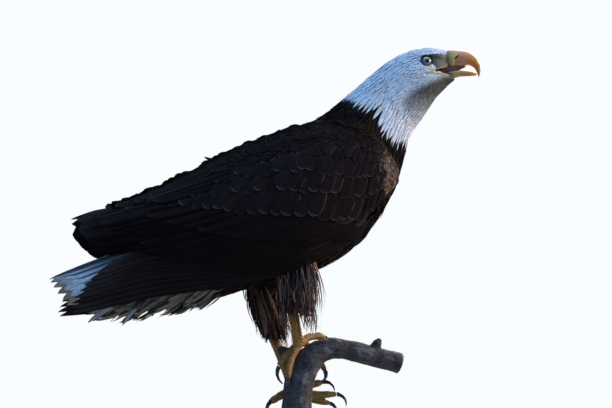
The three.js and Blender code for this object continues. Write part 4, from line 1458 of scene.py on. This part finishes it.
def make_eyes(finishes):
    """Eyeballs with a domed front, and a ring of lid round each."""
    for word, side in SIDES.items():
        low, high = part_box(f"eye_{word}")
        gaze = Vector(HEAD_LEFT * side + HEAD_AHEAD * 0.12 + UP * 0.04).normalized()
        place = Matrix.Translation((low + high) / 2) @ gaze.to_track_quat("Z", "Y").to_matrix().to_4x4()
        bm = bmesh.new()
        bmesh.ops.create_uvsphere(bm, u_segments=64, v_segments=40, radius=10.4 * MM)
        for v in bm.verts:
            dome = math.exp(-(math.hypot(v.co.x, v.co.y) / (6.2 * MM)) ** 4)
            v.co.z += max(0, v.co.z) * 0.10 * dome
        points = np.array([v.co[:] for v in bm.verts])
        bmesh.ops.transform(bm, matrix=place, verts=bm.verts)
        eye = object_of(bm, f"eyeball_{word}", finishes["eye"])
        behind = 20
        radius = np.where(points[:, 2] > 0, np.hypot(points[:, 0], points[:, 1]) / MM, behind)
        mark(eye.data, from_pupil=radius, spoke=np.arctan2(points[:, 1], points[:, 0]))
        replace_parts(eye, f"eye_{word}")
        make_lid(word, place, finishes)


def make_lid(word, place, finishes):
    """A fleshy ring that hugs the eyeball, flatter along its upper side."""
    bm = bmesh.new()
    rings = []
    reach = math.radians(52)
    for turn in np.arange(48) * math.tau / 48:
        flat = 0.86 if math.sin(turn) > 0 else 1.0
        ring = []
        for a in np.arange(8) * math.tau / 8:
            tip = reach + 0.10 * math.cos(a)
            far = (10.6 + 0.6 * math.sin(a)) * MM
            across = math.sin(tip) * far
            at = (math.cos(turn) * across, math.sin(turn) * across * flat, math.cos(tip) * far)
            ring.append(bm.verts.new(at))
        rings.append(ring)
    for first, second in zip(rings, rings[1:] + rings[:1]):
        joined(bm, first, second)
    bmesh.ops.recalc_face_normals(bm, faces=bm.faces)
    bmesh.ops.transform(bm, matrix=place, verts=bm.verts)
    object_of(bm, f"eyelid_{word}", finishes["lid"])


# ---- Claws, perch and stand --------------------------------------------------------------------

def make_claws(finishes):
    for toe in TOES:
        for word in SIDES:
            smoothed(f"claw_{toe}_{word}", f"claw_{toe}_{word}_horn", 0.0008, 5, finishes["claw"])


def make_perch(finishes):
    """The branch with ridged flaking bark."""
    mesh = smoothed("perch", "bark_perch", 0.0018, 3, finishes["bark"]).data
    points = corners(mesh)
    low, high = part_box("perch")
    cut = (points[:, 2] < low.z + 0.0015) | (points[:, 0] > high.x - 0.004)
    rough = np.array([
        noise.fractal(Vector(p) * 60, 0.9, 2.1, 4)
        + 0.5 * abs(noise.noise(Vector((p[0] * 40, p[1] * 40, p[2] * 220)))) for p in points])
    moved(mesh, points + facing(mesh) * (np.where(cut, 0, rough * 0.9 - 0.5) * MM)[:, None])
    mark(mesh, cut=cut.astype(float), rough=np.clip(rough * 0.5 + 0.5, 0, 1))


# ---- Horn, eye, foot, bark and stand finishes --------------------------------------------------

def bill_finish():
    """Horn between pink and yellow, deeper at its tip and edges, a straw cere and an olive root."""
    made, tree = finish("bill_horn", 0.45, Coat_Weight=0.06, Coat_Roughness=0.3, Specular_IOR_Level=0.3,
                        Subsurface_Weight=0.15, Subsurface_Scale=0.004)
    uneven = grouped(tree, MOTTLE, Scale=60, Stretch=2.5)
    fine = uneven["Fine"]
    body = layered(
        tree, blended(tree, uneven["Broad"], (214, 144, 106), (226, 158, 112)),
        ("tip", 1, (212, 138, 60)), ("edge", 0.7, (228, 162, 66)),
        ("cere", 1, blended(tree, fine, (200, 178, 100), (226, 196, 108))),
        # The nostril's dark brown is painted shade in its hollow.
        ("root", 1, (76, 86, 73)), ("nostril", 1, (58, 40, 24)))
    height = sums(tree, "ADD", uneven["Broad"], times(tree, fine, 0.4))
    return completed(made, body, height, 0.25, 0.0004, between(tree, fine, 0, 1, 0.28, 0.46))


def eye_finish():
    """Dark pupil, pale straw iris with fine spokes and a dark outer ring, under a clear front."""
    made, tree = finish("eye_surface", 0.12, Coat_Weight=1.0, Coat_Roughness=0.02)
    radius = number(tree, "from_pupil")
    around = times(tree, number(tree, "spoke"), 9.0)
    spokes = node(tree, "ShaderNodeCombineXYZ", i0=around, i1=times(tree, radius, 0.35))
    fibres = noisy(tree, spokes.outputs[0], 2.2, 3.0)
    body = layered(
        tree, blended(tree, between(tree, fibres, 0.3, 0.7), (124, 122, 110), (154, 153, 142)),
        (between(tree, radius, 3.7, 4.9, 0.5, 0.0), 1, (112, 104, 80)),
        (between(tree, radius, 6.5, 7.1), 1, (30, 27, 24)),
        (between(tree, radius, 3.55, 3.8, 1.0, 0.0), 1, (0.004, 0.004, 0.006, 1)))
    return completed(made, body, fibres, 0.06, 0.0003)


def skin_finish(name, deep, light, scale, rough, strength, coat=0.0):
    """Bare leathery skin of small rounded scales."""
    made, tree = finish(name, rough, Coat_Weight=coat)
    place = on_piece(tree)
    cells = node(tree, "ShaderNodeTexVoronoi", feature="DISTANCE_TO_EDGE", Vector=place, Scale=scale)
    uneven = grouped(tree, MOTTLE, Scale=70)
    dome = between(tree, cells.outputs["Distance"], 0.0, 0.28)
    body = layered(
        tree, blended(tree, uneven["Broad"], deep, light),
        (sums(tree, "SUBTRACT", 1.0, dome), 0.6, tuple(c * 0.45 for c in deep)),
        (uneven["Fine"], 0.25, tuple(c * 0.7 for c in light)))
    return completed(made, body, dome, strength, 0.0006)


def claw_finish():
    """Near black polished horn."""
    made, tree = finish("claw_horn", 0.3, Coat_Weight=0.4, Coat_Roughness=0.15)
    uneven = grouped(tree, MOTTLE, Scale=90, Stretch=0.3)
    body = blended(tree, uneven["Broad"], (20, 19, 23), (52, 48, 52))
    body = layered(tree, body, (uneven["Fine"], 0.3, (84, 78, 76)))
    return completed(made, body, uneven["Fine"], 0.2, 0.0003)


def bark_finish():
    """Grey weathered bark with fine rings and specks, dark in its cracks, with pale sawn ends."""
    made, tree = finish("branch_bark", 0.85)
    uneven = grouped(tree, MOTTLE, Scale=22, Stretch=0.7)
    rings = grouped(tree, MOTTLE, Scale=70, Stretch=5.0)
    specks = grouped(tree, MOTTLE, Scale=150, Stretch=1.6)
    rough = number(tree, "rough")
    wood = blended(tree, noisy(tree, on_piece(tree), 160.0, 4.0), (150, 118, 84), (206, 178, 140))
    body = layered(
        tree, blended(tree, uneven["Broad"], (56, 50, 47), (86, 80, 77)),
        (rings["Broad"], 0.5, (46, 39, 36)), (specks["Broad"], 0.35, (128, 121, 116)),
        (specks["Fine"], 0.3, (36, 30, 28)), (between(tree, rough, 0.24, 0.42, 0.75, 0.0), 1, (34, 28, 25)),
        (between(tree, rough, 0.66, 0.9, 0.0, 0.5), 1, (136, 132, 130)), ("cut", 1, wood))
    height = sums(tree, "ADD", rings["Broad"], times(tree, specks["Broad"], 0.5))
    return completed(made, body, height, 0.7, 0.0012)


def wood_finish():
    """Dark oiled wood with its grain along the board."""
    made, tree = finish("base_wood", 0.38, Coat_Weight=0.3, Coat_Roughness=0.25)
    place = on_piece(tree, (1.2, 14, 14))
    grain = noisy(tree, place, 6.0, 6.0, Distortion=0.6)
    pores = noisy(tree, place, 60.0, 2.0)
    body = blended(tree, between(tree, grain, 0.35, 0.65), (52, 32, 20), (104, 68, 42))
    body = layered(tree, body, (between(tree, pores, 0.55, 0.75, 0.0, 0.5), 1, (30, 18, 12)))
    return completed(made, body, pores, 0.15, 0.0003, between(tree, pores, 0.3, 0.8, 0.3, 0.5))


def steel_finish():
    """Satin steel, brushed round the rod."""
    made, tree = finish("rod_steel", 0.3, Metallic=1.0)
    lines = noisy(tree, on_piece(tree, (2, 2, 260)), 8.0, 3.0)
    body = blended(tree, lines, (150, 152, 156), (196, 198, 202))
    return completed(made, body, lines, 0.1, 0.0002, between(tree, lines, 0.3, 0.7, 0.24, 0.4))


def face_finish():
    """Short white plumage of the head, bare olive skin before the eyes, and the mouth's lining."""
    made, tree = finish("face_skin", 0.6)
    uneven = grouped(tree, MOTTLE, Scale=90)
    fine = uneven["Fine"]
    lore = layered(tree, blended(tree, fine, (46, 56, 51), (70, 77, 67)), ("root", 1, (140, 134, 88)))
    body = layered(
        tree, blended(tree, fine, (206, 210, 214), (232, 236, 240)),
        # Painted shade, olive and dark, on the white under the bill and down the throat.
        ("dusk", 0.95, (84, 76, 58)), ("lore", 1, lore),
        # The lids' dark skin, and along the brow the ridge's skin with painted shadow under it.
        ("gape", 1, blended(tree, fine, (160, 138, 74), (198, 174, 98))), ("dark", 1, (44, 38, 32)),
        ("mouth", 1, blended(tree, uneven["Broad"], (92, 34, 34), (140, 62, 56))))
    return completed(made, body, fine, 0.5, 0.0005)


# ---- Face and feet details ---------------------------------------------------------------------

def joined(bm, first, second):
    """Faces between two rings of corners."""
    count = len(first)
    for a in range(count):
        bm.faces.new((first[a], second[a], second[(a + 1) % count], first[(a + 1) % count]))


def tube(rings):
    """A closed tube through rings of points."""
    bm = bmesh.new()
    loops = [[bm.verts.new(tuple(point)) for point in ring] for ring in rings]
    for first, second in zip(loops, loops[1:]):
        joined(bm, first, second)
    bm.faces.new(loops[0])
    bm.faces.new(loops[-1])
    bmesh.ops.recalc_face_normals(bm, faces=bm.faces)
    return bm


def make_palate(finishes):
    """The dark red roof and sides of the open mouth, between the jaws behind the bill's gap."""
    lows = [(5, -9.2), (24, -8.6), (38, -7.8), (52, -4.8), (60, -0.8), (67, 2.6), (71, 4.4)]
    rings = []
    for place in np.linspace(5, 71, 24):
        top = np.interp(place, [5, 26, 44, 64, 71], [-8, 0.5, 8.0, 7.6, 5.4])
        low = np.interp(place, *np.array(lows).T)
        wide = np.interp(place, [5, 24, 40, 52, 71], [11, 9.5, 6.6, 5.6, 3.4])
        turn = np.linspace(0, math.tau, 16, endpoint=False)
        out, up = (np.copysign(np.abs(way) ** 0.7, way) for way in (np.cos(turn), np.sin(turn)))
        rings.append([on_head(place, wide * a, (top + low + (top - low) * b) / 2) for a, b in zip(out, up)])
    object_of(tube(rings), "mouth_lining", finishes["mouth"])


# Where the toes go from the ball of each foot, where the shanks come from, and the branch's line.
TOE_WAYS = {
    "right": ((-5, -11, -1), {
        "hallux": [(-24, -9, -18), (-36, -5, -35)], "inner": [(18, 4, 14), (46, 15, 13)],
        "middle": [(12, 19, 4), (33, 27, -16), (46, 18, -41)], "outer": [(-20, -19, -28), (-24, -20, -56)]}),
    "left": ((-3, 36, -72), {
        "hallux": [(-26, 34, -83), (-44, 26, -93)], "inner": [(22, 32, -66), (42, 22, -60)],
        "middle": [(30, 34, -80), (67, 24, -80)], "outer": [(24, 35, -88), (56, 26, -95)]}),
}
HEELS = {"right": (-24, -38, 84), "left": (-40, 44, 24)}
BRANCH_LINE = [(-6, 0, -172), (-6, 0, -125), (-5, 0, -91), (-1, 0, -58), (9, 0, -34), (26, 0, -15),
               (52, 1, -5), (84, 2, -8), (120, 3, -17), (172, 5, -29)]


def reach_of(skin, centre, out, default):
    """How far the skin is from a place inside it, or a default where no skin is met."""
    hit = skin.tree.ray_cast(Vector(centre + out * 0.03), Vector(-out), 0.05)
    return np.linalg.norm(np.array(hit[0]) - centre) if hit[0] else default


def make_scutes(skin, finishes):
    """Overlapping horny plates over the toes and down the front of the shanks."""
    branch = np.array([here(*p) for p in BRANCH_LINE])
    branch = curve(np.column_stack([np.linspace(0, 1, len(branch)), branch]), np.linspace(0, 1, 120))
    plate_long = 4.6
    for word, (ball, toes) in TOE_WAYS.items():
        spines, rises, radii, widths = [], [], [], []
        for way in toes.values():
            rows = np.array([here(*p) for p in [ball, *way]])
            path = curve(np.column_stack([np.linspace(0, 1, len(rows)), rows]), np.linspace(0.16, 1, 60))
            count = int(np.linalg.norm(np.diff(path, axis=0), axis=1).sum() / MM / plate_long)
            for i in range(count):
                t = np.clip((i + np.array([-0.35, 0.2, 0.9])) / count, 0, 1) * 59
                cell = np.minimum(t.astype(int), 58)
                centre = path[cell] + (path[cell + 1] - path[cell]) * (t - cell)[:, None]
                ahead = unit(path[cell + 1] - path[cell])
                nearest = branch[np.argmin(np.linalg.norm(branch[None] - centre[1], axis=2))]
                out = unit(centre - nearest)
                out = unit(out - ahead * (out * ahead).sum(1, keepdims=True))
                radius = float(np.median([reach_of(skin, c, o, 0.006) for c, o in zip(centre, out)]))
                spines.append(centre + out * radius)
                rises.append(out)
                radii.append(radius / MM)
                widths.append(radius / MM * 2.5)
        heel = here(*HEELS[word])
        foot = here(*ball)
        for i in range(11):
            t = (i + np.array([-0.4, 0.2, 0.9])) / 11
            centre = heel + (foot - heel) * np.clip(0.3 + 0.68 * t, 0, 1)[:, None]
            out = np.repeat([[0.96, -0.28 if word == "right" else 0.1, 0.2]], 3, axis=0)
            radius = reach_of(skin, centre[1], out[1], 0.008)
            spines.append(centre + out * radius)
            rises.append(out)
            radii.append(radius / MM)
            widths.append(radius / MM * 2.0)
        spines = np.array(spines)
        tints = CHANCE.random(len(spines))
        laid = vanes(PLATE, spines, unit(np.array(rises)), np.array(widths), thick=1.0, lift=(-0.25, 0.55),
                     camber=np.array(radii) + 0.2, bulge=0.12, base=0.96)
        batch = (laid, spines[:, 1:], {"tint": tints})
        feather_piece(f"foot_scutes_{word}", [batch], skin, finishes["foot"])


# ---- Putting it together -----------------------------------------------------------------------

def main():
    make_camera()
    make_studio()
    skin = make_skin()
    dark = plumage("dark_plumage", (25, 18, 16), (46, 34, 29), (74, 59, 50), 0.3, pale=(172, 140, 116))
    wing = plumage("wing_plumage", (24, 16, 15), (40, 28, 26), (60, 48, 44), 0.14, fineness=46, shaft=0.06,
                   pale=(172, 140, 116))
    median = plumage("median_plumage", (23, 15, 15), (37, 26, 25), (96, 84, 78), 0.5, fineness=46,
                     edge=0.88, shaft=0.05)
    flight = plumage("flight_plumage", (20, 14, 14), (34, 25, 23), (72, 62, 58), 0.28,
                     fineness=170, slant=26, edge=0.93, shaft=0.4)
    white = plumage("white_plumage", (208, 213, 218), (240, 243, 246), (248, 248, 248), 0.3, bump=0.1,
                    gloss=0.2)
    # The tail's white is greyed in its deeper tone: painted shade.
    tail = plumage("tail_plumage", (176, 176, 172), (226, 228, 228), (132, 118, 96), 0.7,
                   fineness=170, slant=26, edge=0.84, shaft=0.3, gloss=0.2)
    # The undertail coverts' white is painted dark olive and cream: painted shade.
    undertail_in_shade = plumage("undertail_plumage", (64, 55, 46), (182, 172, 152), (214, 208, 192), 0.4)
    strand = plumage("thigh_plumage", (34, 25, 23), (84, 65, 57), (112, 90, 80), 0.4, pale=(186, 152, 134))
    base = skin_finish("coat_base", (15, 11, 11), (28, 20, 19), 300, 0.85, 0.3)
    mouth = skin_finish("mouth_flesh", (126, 62, 58), (168, 92, 84), 900, 0.35, 0.2, coat=0.5)
    foot = skin_finish("foot_skin", (188, 126, 48), (220, 166, 78), 420, 0.5, 0.5)
    lid = skin_finish("lid_skin", (52, 50, 40), (104, 98, 70), 1400, 0.5, 0.3)
    looks = [
        ("face_plumage head_plumage", white, "white_plumage"),
        ("neck_plumage body_plumage", dark, "dark_plumage"),
        ("undertail_coverts", undertail_in_shade, "white_plumage"),
        ("wing_coverts_left wing_coverts_right", wing, "wing_plumage"),
        ("thigh_plumage_left thigh_plumage_right", strand, "dark_plumage"),
        ("median", median, "wing_plumage"), ("flight", flight, "wing_plumage"),
        ("tail", tail, "white_plumage"), ("bill", bill_finish(), "bill_horn"),
        ("mouth", mouth, "mouth_flesh"), ("eye", eye_finish(), "eye"), ("foot", foot, "foot_scale"),
        ("lid", lid, "foot_scale"), ("claw", claw_finish(), "claw_horn"), ("bark", bark_finish(), "bark"),
    ]
    finishes = {name: (paint, slot) for names, paint, slot in looks for name in names.split()}
    finished(skin.piece, (base, "dark_plumage"))
    skin.piece.data.materials.append(face_finish())
    skin.piece.data.materials.append(foot)
    part = skin.part[skin.faces[:, 0]]
    kinds = np.where(part == "head", 1, np.where(np.isin(part, ("toe", "shank")), 2, 0))
    skin.piece.data.polygons.foreach_set("material_index", kinds.astype(np.int32))
    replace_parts(skin.piece, *FLESH)
    lie = lie_of_coat(skin)
    make_coat(skin, lie, finishes)
    for word, side in SIDES.items():
        make_wing(side, word, skin, lie, finishes)
    make_tail(skin, finishes)
    make_strands(skin, finishes)
    make_undertail(skin, finishes)
    make_loose(skin, finishes)
    make_bill(finishes)
    make_eyes(finishes)
    make_palate(finishes)
    make_claws(finishes)
    make_scutes(skin, finishes)
    make_perch(finishes)
    for name, paint in (("stand_base", wood_finish()), ("stand_rod", steel_finish())):
        NODES[name].data.materials.clear()
        NODES[name].data.materials.append(paint)


main()
